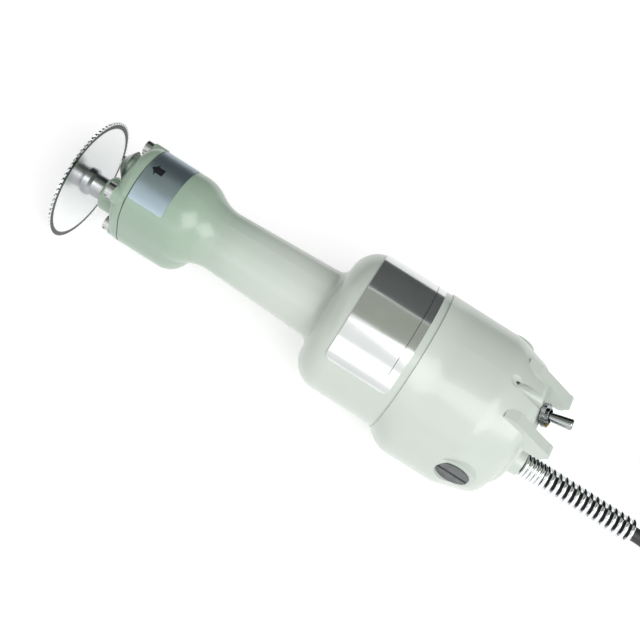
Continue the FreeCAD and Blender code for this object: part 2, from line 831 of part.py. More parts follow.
def make_spindle_group():
    half = d.blade_thickness / 2
    front = blade_x - half - d.washer_thickness - d.nut_height - d.spindle_tip
    rear = spindle_bearing_x + d.small_bearing_width
    pilot = front + d.spindle_cone
    turned("spindle", [
        (front, 0), (rear, 0), (rear, d.spindle_radius), (pilot + d.pilot_length, d.spindle_radius),
        (pilot + d.pilot_length, d.pilot_radius), (pilot, d.pilot_radius),
        (front, d.pilot_radius - d.spindle_cone),
    ], spindle_z)
    bore = d.blade_bore_radius
    rim = d.washer_thickness * 0.45
    turned("outer_blade_washer", [
        (blade_x - half - d.washer_thickness, bore), (blade_x - half, bore),
        (blade_x - half, d.washer_radius), (blade_x - half - rim, d.washer_radius),
        (blade_x - half - d.washer_thickness, d.washer_radius - rim),
    ], spindle_z)
    turned("inner_blade_flange", [
        (blade_x + half, bore), (nose_face - 0.5, bore), (nose_face - 0.5, d.spacer_radius),
        (blade_x + half + d.washer_thickness * 2, d.spacer_radius),
        (blade_x + half + d.washer_thickness, d.washer_radius), (blade_x + half, d.washer_radius),
    ], spindle_z)
    nut = body("blade_nut")
    hexagon = []
    for step in range(6):
        turn = math.radians(30 + 60 * step)
        hexagon.append((d.nut_radius * round(math.cos(turn), 6), d.nut_radius * round(math.sin(turn), 6)))
    flats = outline(nut, "nut_outline", "YZ_Plane", hexagon)
    pad(nut, "nut", flats, d.nut_height)
    crown = [
        (0, d.nut_radius * 0.88), (-0.3, d.nut_radius * 0.88), (-0.3, d.nut_radius * 1.1),
        (d.nut_height * 0.22, d.nut_radius * 1.1),
    ]
    groove(nut, "nut_crown", outline(nut, "nut_crown_outline", "XZ_Plane", crown))
    thread = circles(nut, "nut_thread_circle", "YZ_Plane", [(0, 0, bore)], -1)
    pocket(nut, "nut_thread", thread, d.nut_height + 2)
    place(nut, blade_x - half - d.washer_thickness - d.nut_height, 0, spindle_z)


def ball_bearing(name, x, z, radius, width, bore, y=0):
    """A shielded ball bearing: its shields sit a little inside the races."""
    race = (radius - bore) * 0.24
    inset = width * 0.12
    turned(name, [
        (x, bore), (x + width, bore), (x + width, bore + race),
        (x + width - inset, bore + race), (x + width - inset, radius - race),
        (x + width, radius - race), (x + width, radius), (x, radius), (x, radius - race),
        (x + inset, radius - race), (x + inset, bore + race), (x, bore + race),
    ], z, y=y)


def make_bearings():
    width, bore = d.small_bearing_width, d.bearing_bore_radius
    ball_bearing("spindle_front_bearing", cap_bearing_x, spindle_z, d.small_bearing_radius, width, bore)
    ball_bearing("spindle_rear_bearing", spindle_bearing_x, spindle_z, d.small_bearing_radius, width, bore)
    large, wide = d.large_bearing_radius, d.large_bearing_width
    ball_bearing("neck_bearing", neck_bearing_x, axis_z, large, wide, bore)
    ball_bearing("motor_front_bearing", motor_bearing_x, axis_z, large, wide, bore)
    ball_bearing("motor_rear_bearing", rear_bearing_x, axis_z, d.small_bearing_radius, width, bore)
    ball_bearing(
        "drive_bearing", drive_bearing_x, axis_z, d.drive_bearing_radius, width,
        d.eccentric_radius, y=d.eccentric_throw,
    )


def make_drive():
    """Shaft, eccentric and the rocking fork that turns its throw into the blade's swing."""
    rear = rear_bearing_x + d.small_bearing_width
    step = drive_bearing_x + d.small_bearing_width + 1.5
    turned("drive_shaft", [
        (shaft_front, 0), (rear, 0), (rear, d.shaft_radius), (step, d.shaft_radius),
        (step, d.shaft_front_radius), (shaft_front, d.shaft_front_radius),
    ], axis_z)
    cam = body("eccentric")
    ring = [(d.eccentric_throw, 0, d.eccentric_radius), (0, 0, d.shaft_front_radius)]
    pad(cam, "cam", circles(cam, "cam_circles", "YZ_Plane", ring, drive_bearing_x), step - drive_bearing_x)
    place(cam, 0, 0, axis_z)
    fork = body("rocker_fork")
    half, slot = d.fork_width / 2, d.fork_gap / 2
    floor = d.spindle_drop - d.fork_slot_floor
    top = d.spindle_drop + d.fork_reach
    shape = [
        (half, floor - 3), (half, top), (slot, top), (slot, floor),
        (-slot, floor), (-slot, top), (-half, top), (-half, floor - 3),
        (-d.fork_hub_radius, 0), (d.fork_hub_radius, 0),
    ]
    pad(fork, "tines", outline(fork, "fork_outline", "YZ_Plane", shape, fork_x), d.fork_thickness)
    hub = circles(fork, "hub_circle", "YZ_Plane", [(0, 0, d.fork_hub_radius)], fork_x)
    pad(fork, "hub", hub, d.fork_thickness + 2.5)
    bore = circles(fork, "hub_bore_circle", "YZ_Plane", [(0, 0, d.spindle_radius)], fork_x - 1)
    pocket(fork, "hub_bore", bore, d.fork_thickness + 5)
    place(fork, 0, 0, spindle_z)


def make_armature():
    core = body("armature_core")
    rings = [(0, 0, d.armature_radius), (0, 0, d.shaft_radius)]
    pad(core, "stack", circles(core, "stack_circles", "YZ_Plane", rings, armature_x), d.armature_length)
    slot = circles(core, "slot_circle", "YZ_Plane", [(0, d.armature_radius - 2.2, 1.5)], armature_x - 1)
    slot_cut = pocket(core, "slot", slot, d.armature_length + 2)
    polar(core, "slots", slot_cut, slot, 12)
    place(core, 0, 0, axis_z)
    over = d.winding_overhang
    low, high = d.shaft_radius, d.winding_radius
    soft = over * 0.35
    ends = []
    for name, near, far in (
        ("front", armature_x, armature_x - over),
        ("rear", armature_x + d.armature_length, armature_x + d.armature_length + over),
    ):
        inward = soft if name == "front" else -soft
        part = helper_body(f"winding_{name}")
        sketch = outline(part, f"winding_{name}_outline", "XZ_Plane", [
            (near, low), (near, high), (far + inward, high), (far, high - soft), (far, low),
        ])
        revolve(part, f"winding_{name}_turning", sketch)
        place(part, 0, 0, axis_z)
        ends.append(part)
    group("armature_windings", ends)
    bars = body("commutator")
    rings = [(0, 0, d.commutator_radius), (0, 0, d.shaft_radius)]
    base = circles(bars, "bar_circles", "YZ_Plane", rings, commutator_x)
    pad(bars, "bars", base, d.commutator_length)
    groove_box = [
        (-0.3, d.commutator_radius - 0.8), (0.3, d.commutator_radius - 0.8),
        (0.3, d.commutator_radius + 1), (-0.3, d.commutator_radius + 1),
    ]
    gap = outline(bars, "bar_gap_outline", "YZ_Plane", groove_box, commutator_x - 1)
    gap_cut = pocket(bars, "bar_gap", gap, d.commutator_length + 2)
    polar(bars, "bar_gaps", gap_cut, gap, d.commutator_bars)
    place(bars, 0, 0, axis_z)


def make_fan():
    fan = body("cooling_fan")
    disc = [(0, 0, d.fan_radius), (0, 0, d.shaft_radius)]
    pad(fan, "fan_disc", circles(fan, "fan_disc_circles", "YZ_Plane", disc, fan_x), 1.4)
    hub = [(0, 0, d.fan_hub_radius), (0, 0, d.shaft_radius)]
    pad(fan, "fan_hub", circles(fan, "fan_hub_circles", "YZ_Plane", hub, fan_x), d.fan_width)
    vane = [
        (-0.6, d.fan_hub_radius + 2), (0.6, d.fan_hub_radius + 2),
        (0.6, d.fan_radius - 0.4), (-0.6, d.fan_radius - 0.4),
    ]
    sketch = outline(fan, "vane_outline", "YZ_Plane", vane, fan_x)
    feature = pad(fan, "vane", sketch, d.fan_width)
    polar(fan, "vanes", feature, sketch, d.fan_blades)
    place(fan, 0, 0, axis_z)


def make_field():
    """Stator stack with two pole arcs, a notch for the top screw, and its two coils."""
    core = body("field_core")
    ring = [(0, 0, d.field_radius), (0, 0, d.field_radius - 5)]
    pad(core, "yoke", circles(core, "yoke_circles", "YZ_Plane", ring, field_x), d.field_length)
    pole_half = d.field_bore_radius * 0.7
    rise = root_of(d.field_bore_radius * d.field_bore_radius - pole_half * pole_half)
    for side in (1, -1):
        corners = [
            (pole_half, rise, d.field_bore_radius) if side > 0 else (-pole_half, -rise, d.field_bore_radius),
            (-pole_half, rise) if side > 0 else (pole_half, -rise),
            (-pole_half * 0.6, d.field_radius - 4) if side > 0 else (pole_half * 0.6, 4 - d.field_radius),
            (pole_half * 0.6, d.field_radius - 4) if side > 0 else (-pole_half * 0.6, 4 - d.field_radius),
        ]
        sketch = outline(core, f"pole_outline_{'top' if side > 0 else 'low'}", "YZ_Plane", corners, field_x)
        pad(core, f"pole_{'top' if side > 0 else 'low'}", sketch, d.field_length)
    y, z, radius = long_screw_at(0, d.top_lug_radius + 0.4)
    notch = circles(core, "screw_notch_circle", "YZ_Plane", [(y, z, radius)], field_x - 1)
    pocket(core, "screw_notch", notch, d.field_length + 2)
    place(core, 0, 0, axis_z)
    coils = []
    for name, side in (("right", 1), ("left", -1)):
        inner = d.field_bore_radius + 0.3
        outer = d.field_radius - 5.3
        part = helper_body(f"field_coil_{name}")
        low = 9.0
        sketch = outline(part, f"field_coil_{name}_outline", "YZ_Plane", [
            (side * root_of(inner * inner - low * low), -low, side * inner),
            (side * root_of(inner * inner - low * low), low),
            (side * root_of(outer * outer - low * low), low, -side * outer),
            (side * root_of(outer * outer - low * low), -low),
        ], field_x - d.field_coil_overhang)
        pad(part, f"field_coil_{name}_pad", sketch, d.field_length + d.field_coil_overhang * 2)
        place(part, 0, 0, axis_z)
        coils.append(part)
    group("field_coils", coils)


def make_brush_gear():
    """A carbon brush, its holder, spring and slotted screw cap on each side of the commutator."""
    holders, brushes, springs, caps = [], [], [], []
    half = d.brush_width / 2
    for name, side in (("near", -1), ("far", 1)):
        def low(start, length):
            return side * start if side > 0 else -(start + length)

        start = d.commutator_radius + 2
        length = brush_cap_face - d.brush_cap_height - start
        tube = rod(f"holder_tube_{name}", brush_x, low(start, length), axis_z, d.brush_holder_radius, length, "Y")
        bore = block(
            f"holder_bore_{name}", brush_x - half - 0.1, low(start - 1, length + 2), axis_z - half - 0.1,
            d.brush_width + 0.2, length + 2, d.brush_width + 0.2,
        )
        holders.append(cut(f"holder_{name}", tube, bore))
        tip = d.commutator_radius + d.brush_clearance
        brushes.append(block(
            f"brush_{name}", brush_x - half, low(tip, d.brush_length), axis_z - half,
            d.brush_width, d.brush_length, d.brush_width,
        ))
        spring_start = tip + d.brush_length
        spring_length = brush_cap_face - d.brush_cap_height - spring_start
        outer = rod(
            f"spring_outer_{name}", brush_x, low(spring_start, spring_length), axis_z,
            d.brush_spring_radius, spring_length, "Y",
        )
        inner = rod(
            f"spring_inner_{name}", brush_x, low(spring_start - 1, spring_length + 2), axis_z,
            d.brush_spring_radius - 0.6, spring_length + 2, "Y",
        )
        springs.append(cut(f"spring_{name}", outer, inner))
        cap_start = brush_cap_face - d.brush_cap_height
        disc = rod(
            f"cap_disc_{name}", brush_x, low(cap_start, d.brush_cap_height), axis_z,
            d.brush_cap_radius, d.brush_cap_height, "Y",
        )
        slot = block(
            f"cap_slot_{name}", brush_x - d.brush_cap_radius,
            low(brush_cap_face - d.brush_slot_depth, d.brush_slot_depth * 2),
            axis_z - d.brush_slot_width / 2,
            d.brush_cap_radius * 2, d.brush_slot_depth * 2, d.brush_slot_width,
        )
        caps.append(cut(f"cap_{name}", disc, slot))
    group("brush_holders", holders)
    group("carbon_brushes", brushes)
    group("brush_springs", springs)
    group("brush_caps", caps)


def ear_outline():
    """Side view of a switch guard ear, from the rear housing's end backwards."""
    root = rear_cone_x + 3
    knee = rear_cone_end - 3
    end = rear_face + d.ear_reach
    bend = d.ear_rounding
    return [
        (root, d.ear_bottom - 2),
        (end - bend - 1, d.ear_bottom, bend),
        (end - 1, d.ear_bottom + bend),
        (end, d.ear_top - bend - 1, bend),
        (end - bend, d.ear_top),
        (knee, d.ear_root_top),
        (root, d.ear_root_top),
    ]


def rear_profile():
    """The rear housing's outline about its own axis, from the end face forwards."""
    low = -d.rear_drop
    corner = 3
    return [
        (rear_face, low + rear_face_r - corner, corner),
        (rear_face - corner * 0.75, low + rear_face_r + 0.4),
        (rear_bevel_x, low + rear_bevel_r, d.rear_bevel_bend),
        (rear_cone_end, low + rear_cone_end_r),
        (rear_cone_x, low + rear_cone_r, d.rear_shoulder_bend),
        (rear_shoulder_x, low + d.rear_radius),
        (flare_end, low + d.rear_radius),
    ]


def rear_hollow():
    """The cavity behind the flare, a wall inside the outline."""
    low, wall = -d.rear_drop, d.rear_wall
    end = rear_face - d.rear_end_wall
    return [
        (flare_end - 0.01, low), (end, low), (end, low + rear_face_r - 4),
        (rear_bevel_x - wall, low + rear_bevel_r - wall - 1),
        (rear_cone_end - wall, low + rear_cone_end_r - wall),
        (rear_shoulder_x, low + d.rear_radius - wall),
        (flare_end - 0.01, low + d.rear_radius - wall),
    ]


def add_switch_guard(part):
    start = d.ear_gap / 2
    for name, first in (("near", start), ("far", -(start + d.ear_thickness))):
        ear = outline(part, f"ear_{name}_outline", "XZ_Plane", ear_outline(), first)
        pad(part, f"ear_{name}", ear, d.ear_thickness)


def add_brush_bosses(part):
    """Round pads that carry the brush caps where the cone falls away."""
    depth = d.brush_cap_height + 6
    face = brush_cap_face - 0.6
    ring = [(brush_x, 0, d.brush_cap_radius + d.brush_boss_rim)]
    for name, plane_at in port_sides():
        sketch = circles(part, f"brush_boss_{name}_circle", "XZ_Plane", ring, plane_at(face - depth, depth))
        pad(part, f"brush_boss_{name}", sketch, depth)


def add_cord_collar(part):
    collar = [
        (rear_bevel_x, -d.cord_drop), (rear_face + d.collar_reach, -d.cord_drop),
        (rear_face + d.collar_reach, d.collar_tip_radius - d.cord_drop),
        (rear_bevel_x, d.collar_root_radius - d.cord_drop),
    ]
    revolve(part, "collar", outline(part, "collar_outline", "XZ_Plane", collar), axis="Edge1")


def port_sides():
    """For each brush port, its name and a function from a distance out of the axis to a plane."""
    return (("near", lambda first, run: first), ("far", lambda first, run: -(first + run)))


def rear_core():
    """The casting core: the cavity less the screw bosses, brush port bosses and bearing boss."""
    part = helper_body("rear_core")
    loft(part, "PartDesign::AdditiveLoft", "core_flare",
         flare_sections(part, "core_flare", d.rear_wall, flare_end))
    revolve(part, "core_barrel", outline(part, "core_outline", "XZ_Plane", rear_hollow()), axis="Edge1")
    start = seam_x + d.tail_length + 0.5
    bosses = [long_screw_at(angle, d.long_boss_radius) for angle in LONG_SCREW_ANGLES]
    pocket(part, "screw_bosses", circles(part, "screw_boss_circles", "YZ_Plane", bosses, start),
           rear_face - start)
    inner = brush_cap_face - d.brush_cap_height - 5
    for name, plane_at in port_sides():
        ring = [(brush_x, 0, d.brush_cap_radius + 1.6)]
        sketch = circles(part, f"port_boss_{name}_circle", "XZ_Plane", ring, plane_at(inner, 12))
        pocket(part, f"port_boss_{name}", sketch, 12)
    ring = [(0, 0, d.small_bearing_radius + 2.2)]
    sketch = circles(part, "seat_boss_circle", "YZ_Plane", ring, rear_bearing_x + 0.2)
    pocket(part, "seat_boss", sketch, rear_face - rear_bearing_x)
    return part


def rear_machining():
    """What is drilled and milled in the casting, as one solid for each cut."""
    part = helper_body("rear_machining")
    seat, start = long_screw_seat, seam_x + d.tail_length
    beyond = rear_face + d.ear_reach - seat
    shanks = [long_screw_at(angle, d.long_screw_radius + 0.1) for angle in LONG_SCREW_ANGLES]
    pad(part, "shank_holes", circles(part, "shank_circles", "YZ_Plane", shanks, start), seat + 1 - start)
    heads = [long_screw_at(angle, d.long_screw_head + 0.5) for angle in LONG_SCREW_ANGLES]
    pad(part, "head_bores", circles(part, "head_circles", "YZ_Plane", heads, seat), beyond)
    inner = brush_cap_face - d.brush_cap_height
    for name, plane_at in port_sides():
        ring = [(brush_x, 0, d.brush_cap_radius + 0.1)]
        rim = circles(part, f"recess_{name}_circle", "XZ_Plane", ring, plane_at(inner, 12))
        pad(part, f"recess_{name}", rim, 12)
        ring = [(brush_x, 0, d.brush_holder_radius + 0.05)]
        hole = circles(part, f"port_{name}_circle", "XZ_Plane", ring, plane_at(inner - 6, 12))
        pad(part, f"port_{name}", hole, 12)
    seat_ring = [(0, 0, small_seat)]
    sketch = circles(part, "seat_circle", "YZ_Plane", seat_ring, rear_bearing_x - 1)
    pad(part, "seat", sketch, d.small_bearing_width + 1.1)
    way = [(0, -d.cord_drop, d.cord_radius + 0.2)]
    inside = rear_cone_end - 1
    pad(part, "cord_hole", circles(part, "cord_hole_circle", "YZ_Plane", way, inside),
        rear_face + d.collar_reach + 5 - inside)
    return part


def rear_scallops():
    """Shallow dents with a rounded start that open to the rear, one in line with each long screw."""
    distance = d.rear_radius + d.scallop_radius - d.scallop_depth
    start = rear_shoulder_x + d.scallop_radius
    dents = []
    for angle in LONG_SCREW_ANGLES:
        y = distance.number * sine_of(angle)
        z = distance.number * cosine_of(angle) - SIZES["rear_drop"]
        ball = doc.addObject("Part::Sphere", f"scallop_end_{angle}")
        bind(ball, "Radius", d.scallop_radius)
        place(ball, start, y, z)
        run = rod(f"scallop_{angle}", start, y, z, d.scallop_radius, rear_face + d.ear_reach - start)
        dents.append(fuse(f"scallop_{angle}_whole", [ball, run]))
    return fuse("rear_scallops", dents)


def make_rear_housing():
    """Swollen rear casting with the brush ports, screw recesses, switch guard and cord collar."""
    part = helper_body("rear_outside")
    loft(part, "PartDesign::AdditiveLoft", "flare", flare_sections(part, "flare", as_size(0), flare_end))
    barrel = [(flare_end, -d.rear_drop), (rear_face, -d.rear_drop)] + rear_profile()
    revolve(part, "barrel", outline(part, "barrel_outline", "XZ_Plane", barrel), axis="Edge1")
    add_switch_guard(part)
    add_brush_bosses(part)
    add_cord_collar(part)
    casting = cut("rear_casting", part, rear_core())
    dented = cut("rear_dented", casting, rear_scallops())
    machined = cut("rear_machined", dented, rear_machining())
    housing = cut("rear_housing", machined, switch_drill())
    place(housing, 0, 0, axis_z)
    return node(housing, "rear_housing")


def switch_frame():
    """Where the switch is seated on the rear bevel, and its outward direction."""
    tilt = math.radians(SIZES["switch_tilt"])
    outward = Vector(math.cos(tilt), 0, math.sin(tilt))
    along_bevel = (rear_face_r.number + SIZES["rear_bevel"] * 4 / 3) - (
        SIZES["switch_z"] + SIZES["rear_drop"]
    )
    seat = Vector(
        rear_bevel_x.number + along_bevel * 0.75, 0, axis_z.number + SIZES["switch_z"]
    )
    return seat, outward


def switch_drill():
    """The hole through the rear bevel for the switch's bushing."""
    seat, outward = switch_frame()
    hole = doc.addObject("Part::Cylinder", "switch_hole")
    bind(hole, "Radius", d.bushing_radius + 0.1)
    bind(hole, "Height", 30)
    local = Vector(seat.x, 0, seat.z - axis_z.number) - outward * 12
    hole.Placement = FreeCAD.Placement(local, Rotation(Vector(0, 0, 1), outward))
    return hole


def finished(name, shape):
    """A piece whose shape is worked out here from the named sizes."""
    item = doc.addObject("Part::Feature", name)
    item.Shape = shape
    return node(item, name)


def make_switch():
    seat, outward = switch_frame()
    depth, width, height = SIZES["switch_depth"], SIZES["switch_width"], SIZES["switch_height"]
    wall = SIZES["rear_end_wall"]
    turn = Rotation(Vector(1, 0, 0), outward)
    inside = wall + SIZES["switch_neck"]
    base = Part.makeBox(depth, width, height, Vector(-inside - depth, -width / 2, -height / 2))
    bushing = Part.makeCylinder(
        SIZES["bushing_radius"], inside + SIZES["switch_nut_height"] + 1.2, Vector(-inside, 0, 0), Vector(1, 0, 0)
    )
    hollow_depth = SIZES["switch_nut_height"] + 1.2 - SIZES["lever_seat"] + SIZES["lever_root_radius"] + 0.4
    hollow = Part.makeCone(
        SIZES["lever_root_radius"] + 0.45, SIZES["bushing_radius"] - 0.25, hollow_depth,
        Vector(SIZES["switch_nut_height"] + 1.2 - hollow_depth, 0, 0), Vector(1, 0, 0),
    )
    shape = base.fuse(bushing).cut(hollow)
    shape.Placement = FreeCAD.Placement(seat, turn)
    finished("switch_body", shape)
    nut = Part.makeCylinder(SIZES["switch_nut_radius"], SIZES["switch_nut_height"], Vector(0.1, 0, 0), Vector(1, 0, 0))
    nut = nut.cut(Part.makeCylinder(SIZES["bushing_radius"] + 0.02, 9, Vector(-1, 0, 0), Vector(1, 0, 0)))
    for step in range(12):
        angle = math.radians(30 * step)
        nick_at = Vector(-1, SIZES["switch_nut_radius"] * math.cos(angle), SIZES["switch_nut_radius"] * math.sin(angle))
        nut = nut.cut(Part.makeCylinder(0.5, 6, nick_at, Vector(1, 0, 0)))
    nut.Placement = FreeCAD.Placement(seat, turn)
    finished("switch_nut", nut)
    pivot = seat + outward * SIZES["lever_seat"]
    swing = math.radians(SIZES["lever_angle"])
    along = Vector(math.cos(swing), 0, math.sin(swing))
    root_r, tip_r, long = SIZES["lever_root_radius"], SIZES["lever_tip_radius"], SIZES["lever_length"]
    lever = Part.makeCone(root_r, tip_r, long, Vector(0, 0, 0), Vector(1, 0, 0))
    rim = [edge for edge in lever.Edges if edge.Length > 1 and edge.BoundBox.XMin > long - 0.01]
    lever = lever.makeFillet(SIZES["lever_tip_rounding"], rim)
    lever = lever.fuse(Part.makeSphere(root_r)).removeSplitter()
    lever.Placement = FreeCAD.Placement(pivot, Rotation(Vector(1, 0, 0), along))
    finished("toggle_lever", lever)
    print("switch seat", seat, "pivot", pivot, "outward", outward)
    return seat, outward


def make_long_screws():
    screws = []
    seat = long_screw_seat
    for angle in LONG_SCREW_ANGLES:
        y, z, radius = long_screw_at(angle)
        name = f"long_screw_{angle}"
        head = slotted_head(
            name, seat, y, axis_z + z, d.long_screw_head, d.long_screw_head_height, slot_from_left=False
        )
        shank = rod(f"{name}_shank", seat - d.long_screw_length, y, axis_z + z, radius, d.long_screw_length)
        screws.append(fuse(f"{name}_whole", [head, shank]))
    group("housing_screws", screws)


def plate_corner(x, inwards, side, radius, half, corner):
    """What a rounded corner takes off a bent plate: a square block less the round."""
    reach = corner + 0.5
    block_start = Vector(-reach if inwards > 0 else 0, -reach if side < 0 else 0, radius - 2)
    waste = Part.makeBox(reach, reach, 4, block_start)
    waste = waste.cut(Part.makeCylinder(corner, 6, Vector(0, 0, radius - 3)))
    turn = side * (half - math.degrees(corner / radius))
    waste.rotate(Vector(0, 0, 0), Vector(1, 0, 0), -turn)
    waste.translate(Vector(x, 0, 0))
    return waste


def make_plates():
    """Bare plates bent round the motor shell and the head."""
    for name, start, length, radius, half, corner in (
        ("data_plate", seam_x - d.data_plate_gap - d.data_plate_length, d.data_plate_length,
         SIZES["motor_radius"], SIZES["data_plate_half_angle"], SIZES["data_plate_corner"]),
        ("head_plate", head_x + d.head_plate_gap, d.head_plate_length,
         SIZES["head_radius"], SIZES["head_plate_half_angle"], 1.0),
    ):
        first = Part.makeCylinder(
            radius + SIZES["plate_thickness"], length.number, Vector(start.number, 0, 0), Vector(1, 0, 0), 2 * half
        )
        tube = first.cut(Part.makeCylinder(radius, length.number, Vector(start.number, 0, 0), Vector(1, 0, 0)))
        middle = tube.Solids[0].CenterOfMass
        turn = math.degrees(math.atan2(middle.y, middle.z))
        tube.rotate(Vector(0, 0, 0), Vector(1, 0, 0), turn)
        for end, inwards in ((start.number, 1), (start.number + length.number, -1)):
            for side in (-1, 1):
                tube = tube.cut(plate_corner(end + inwards * corner, inwards, side, radius, half, corner))
        tube.translate(Vector(0, 0, axis_z.number))
        finished(name, tube)


def make_guard():
    """Wound spring guard on the cord, modelled as a ribbed sleeve of the wire's outer shape."""
    wire = d.guard_wire
    inner = d.guard_radius - wire
    start = rear_face + d.collar_reach
    corners = [(start, inner), (start, d.guard_radius)]
    corners.append((start + d.guard_closed_length, d.guard_radius))
    at = start + d.guard_closed_length
    for _ in range(SIZES["guard_open_turns"]):
        corners.append((at, inner + 0.7))
        corners.append((at + d.guard_pitch - wire, inner + 0.7))
        corners.append((at + d.guard_pitch - wire, d.guard_radius))
        corners.append((at + d.guard_pitch, d.guard_radius))
        at = at + d.guard_pitch
    corners.append((at, inner))
    turned("spring_guard", corners, cord_z)
    print("guard ends at", round(at.number, 2))
    return at


def rounded_path(points):
    """Straight runs joined by tangent arcs, each as large as its two runs allow."""
    inner_share, end_share = 0.45, 0.92
    edges = []
    start = points[0]
    for before, corner, after in zip(points, points[1:], points[2:]):
        back, ahead = before - corner, after - corner
        turn = math.pi - back.getAngle(ahead)
        reach = min(
            back.Length * (end_share if before is points[0] else inner_share),
            ahead.Length * (end_share if after is points[-1] else inner_share),
        )
        print("arc radius", round(reach / math.tan(turn / 2), 1), "turn", round(math.degrees(turn), 1))
        back.normalize()
        ahead.normalize()
        inward = (back + ahead).normalize()
        radius = reach / math.tan(turn / 2)
        depth = radius / math.cos(turn / 2) - radius
        arc_start, arc_end = corner + back * reach, corner + ahead * reach
        edges.append(Part.LineSegment(start, arc_start).toShape())
        edges.append(Part.Arc(arc_start, corner + inward * depth, arc_end).toShape())
        start = arc_end
    edges.append(Part.LineSegment(start, points[-1]).toShape())
    return Part.Wire(edges)


def cord_tube(name, points):
    path = rounded_path(points)
    radius = SIZES["cord_radius"]
    direction = (points[1] - points[0]).normalize()
    ring = Part.Wire([Part.Circle(points[0], direction, radius).toShape()])
    tube = path.makePipeShell([ring], True, True)
    wanted = math.pi * radius * radius * path.Length
    print(name, "length", round(path.Length, 1), "volume ratio", round(tube.Volume / wanted, 4))
    finished(name, tube)


def make_cord():
    """Lead from the collar down to the floor, the coil it is wound into, and the tail to the plug."""
    radius = SIZES["cord_radius"]
    mean = SIZES["coil_mean_radius"]
    across = SIZES["coil_turns_across"] * radius
    high = SIZES["coil_turns_high"] * radius * 2
    outer, inner = mean + across, mean - across
    outer_turn = outer - radius
    entry = Vector(288.5, -35.0, radius + 0.1)
    inside_collar = rear_face.number + SIZES["collar_reach"] - 10
    cord_tube("cord_lead", [
        Vector(inside_collar, 0, cord_z.number),
        Vector(190.0, 0, cord_z.number),
        Vector(224.0, -11.0, entry.z),
        Vector(262.0, entry.y, entry.z),
        entry,
    ])
    reach = math.sqrt(outer * outer - outer_turn * outer_turn)
    centre = Vector(entry.x + reach, entry.y + outer_turn, 0)
    ring = Part.makeCylinder(outer, high, centre).cut(Part.makeCylinder(inner, high, centre))
    finished("cord_coil", ring)
    print("coil centre", centre, "outer", outer, "inner", inner, "high", high)
    side = centre.y + outer_turn
    top_turn = high - radius
    plug_start = Vector(239.5, side, SIZES["plug_body_height"] / 2)
    cord_tube("cord_tail", [
        Vector(entry.x, side, top_turn),
        Vector(275.5, side, top_turn),
        Vector(252.5, side, plug_start.z),
        plug_start,
    ])
    make_plug(plug_start, Vector(-1, 0, 0))


def make_plug(start, heading):
    """Moulded three pin plug lying beside the coil."""
    neck, long = SIZES["plug_neck_length"], SIZES["plug_body_length"]
    wide, tall = SIZES["plug_body_width"], SIZES["plug_body_height"]
    relief = Part.makeCone(SIZES["cord_radius"] + 0.6, SIZES["plug_neck_radius"], neck, Vector(0, 0, 0), Vector(1, 0, 0))
    back = Part.makePolygon([
        Vector(neck - 3, -wide * 0.3, -tall * 0.3), Vector(neck - 3, wide * 0.3, -tall * 0.3),
        Vector(neck - 3, wide * 0.3, tall * 0.3), Vector(neck - 3, -wide * 0.3, tall * 0.3),
        Vector(neck - 3, -wide * 0.3, -tall * 0.3),
    ])
    middle_x = neck + long * 0.45
    middle = Part.makePolygon([
        Vector(middle_x, -wide / 2, -tall / 2), Vector(middle_x, wide / 2, -tall / 2),
        Vector(middle_x, wide / 2, tall / 2), Vector(middle_x, -wide / 2, tall / 2),
        Vector(middle_x, -wide / 2, -tall / 2),
    ])
    grip = Part.makeLoft([back, middle], True, True)
    front = Part.makeBox(long * 0.55, wide, tall, Vector(middle_x, -wide / 2, -tall / 2))
    shape = relief.fuse(grip).fuse(front)
    face = middle_x + long * 0.55
    turn = Rotation(Vector(1, 0, 0), heading)
    blades = []
    for side in (-1, 1):
        blades.append(Part.makeBox(SIZES["plug_blade_length"] + 4, 1.5, 6.3, Vector(face - 4, side * 6.35 - 0.75, -5.5)))
    pin = Part.makeCylinder(2.4, SIZES["plug_blade_length"] + 6, Vector(face - 4, 0, 6.3), Vector(1, 0, 0))
    blades.append(pin)
    pins = Part.makeCompound(blades)
    for piece in blades:
        shape = shape.cut(piece)
    shape.Placement = FreeCAD.Placement(start, turn)
    finished("plug_body", shape)
    pins.Placement = FreeCAD.Placement(start, turn)
    finished("plug_blades", pins)


def build():
    make_front_housing()
    make_nose_cap()
    make_gasket()
    make_cap_screws()
    make_blade()
    make_spindle_group()
    make_bearings()
    make_drive()
    make_armature()
    make_fan()
    make_field()
    make_brush_gear()
    make_rear_housing()
    make_switch()
    make_long_screws()
    make_plates()
    make_guard()
    make_cord()


def check():
    """Stop on a failed object, and on a cut that removed nothing."""
    for item in doc.Objects:
        state = [word for word in item.State if word in ("Invalid", "Error")]
        if state:
            raise RuntimeError(f"{item.Label} is {state}")
        if item.TypeId in ("PartDesign::Pocket", "PartDesign::Groove") and item.BaseFeature:
            if item.Shape.Volume > item.BaseFeature.Shape.Volume - 1e-3:
                raise RuntimeError(f"{item.Label} cuts nothing")
    for item in NODES:
        if item.Shape.isNull() or not item.Shape.isValid():
            raise RuntimeError(f"{item.Label} has no valid shape")


def export():
    os.makedirs("parts", exist_ok=True)
    for item in NODES:
        item.Shape.exportStep(f"parts/{item.Label}.step")
        box = item.Shape.BoundBox
        corners = [box.XMin, box.XMax, box.YMin, box.YMax, box.ZMin, box.ZMax]
        print(item.Label, len(item.Shape.Solids), [round(value, 2) for value in corners])


build()
doc.recompute()
check()
export()
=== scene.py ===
"""Studio scene of a cast cutter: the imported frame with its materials, cord, spring guard and labels.

Lengths are metres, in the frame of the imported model, except where a comment says millimetres.
"""
import json
import math

import bmesh
import bpy
from mathutils import Matrix, Vector


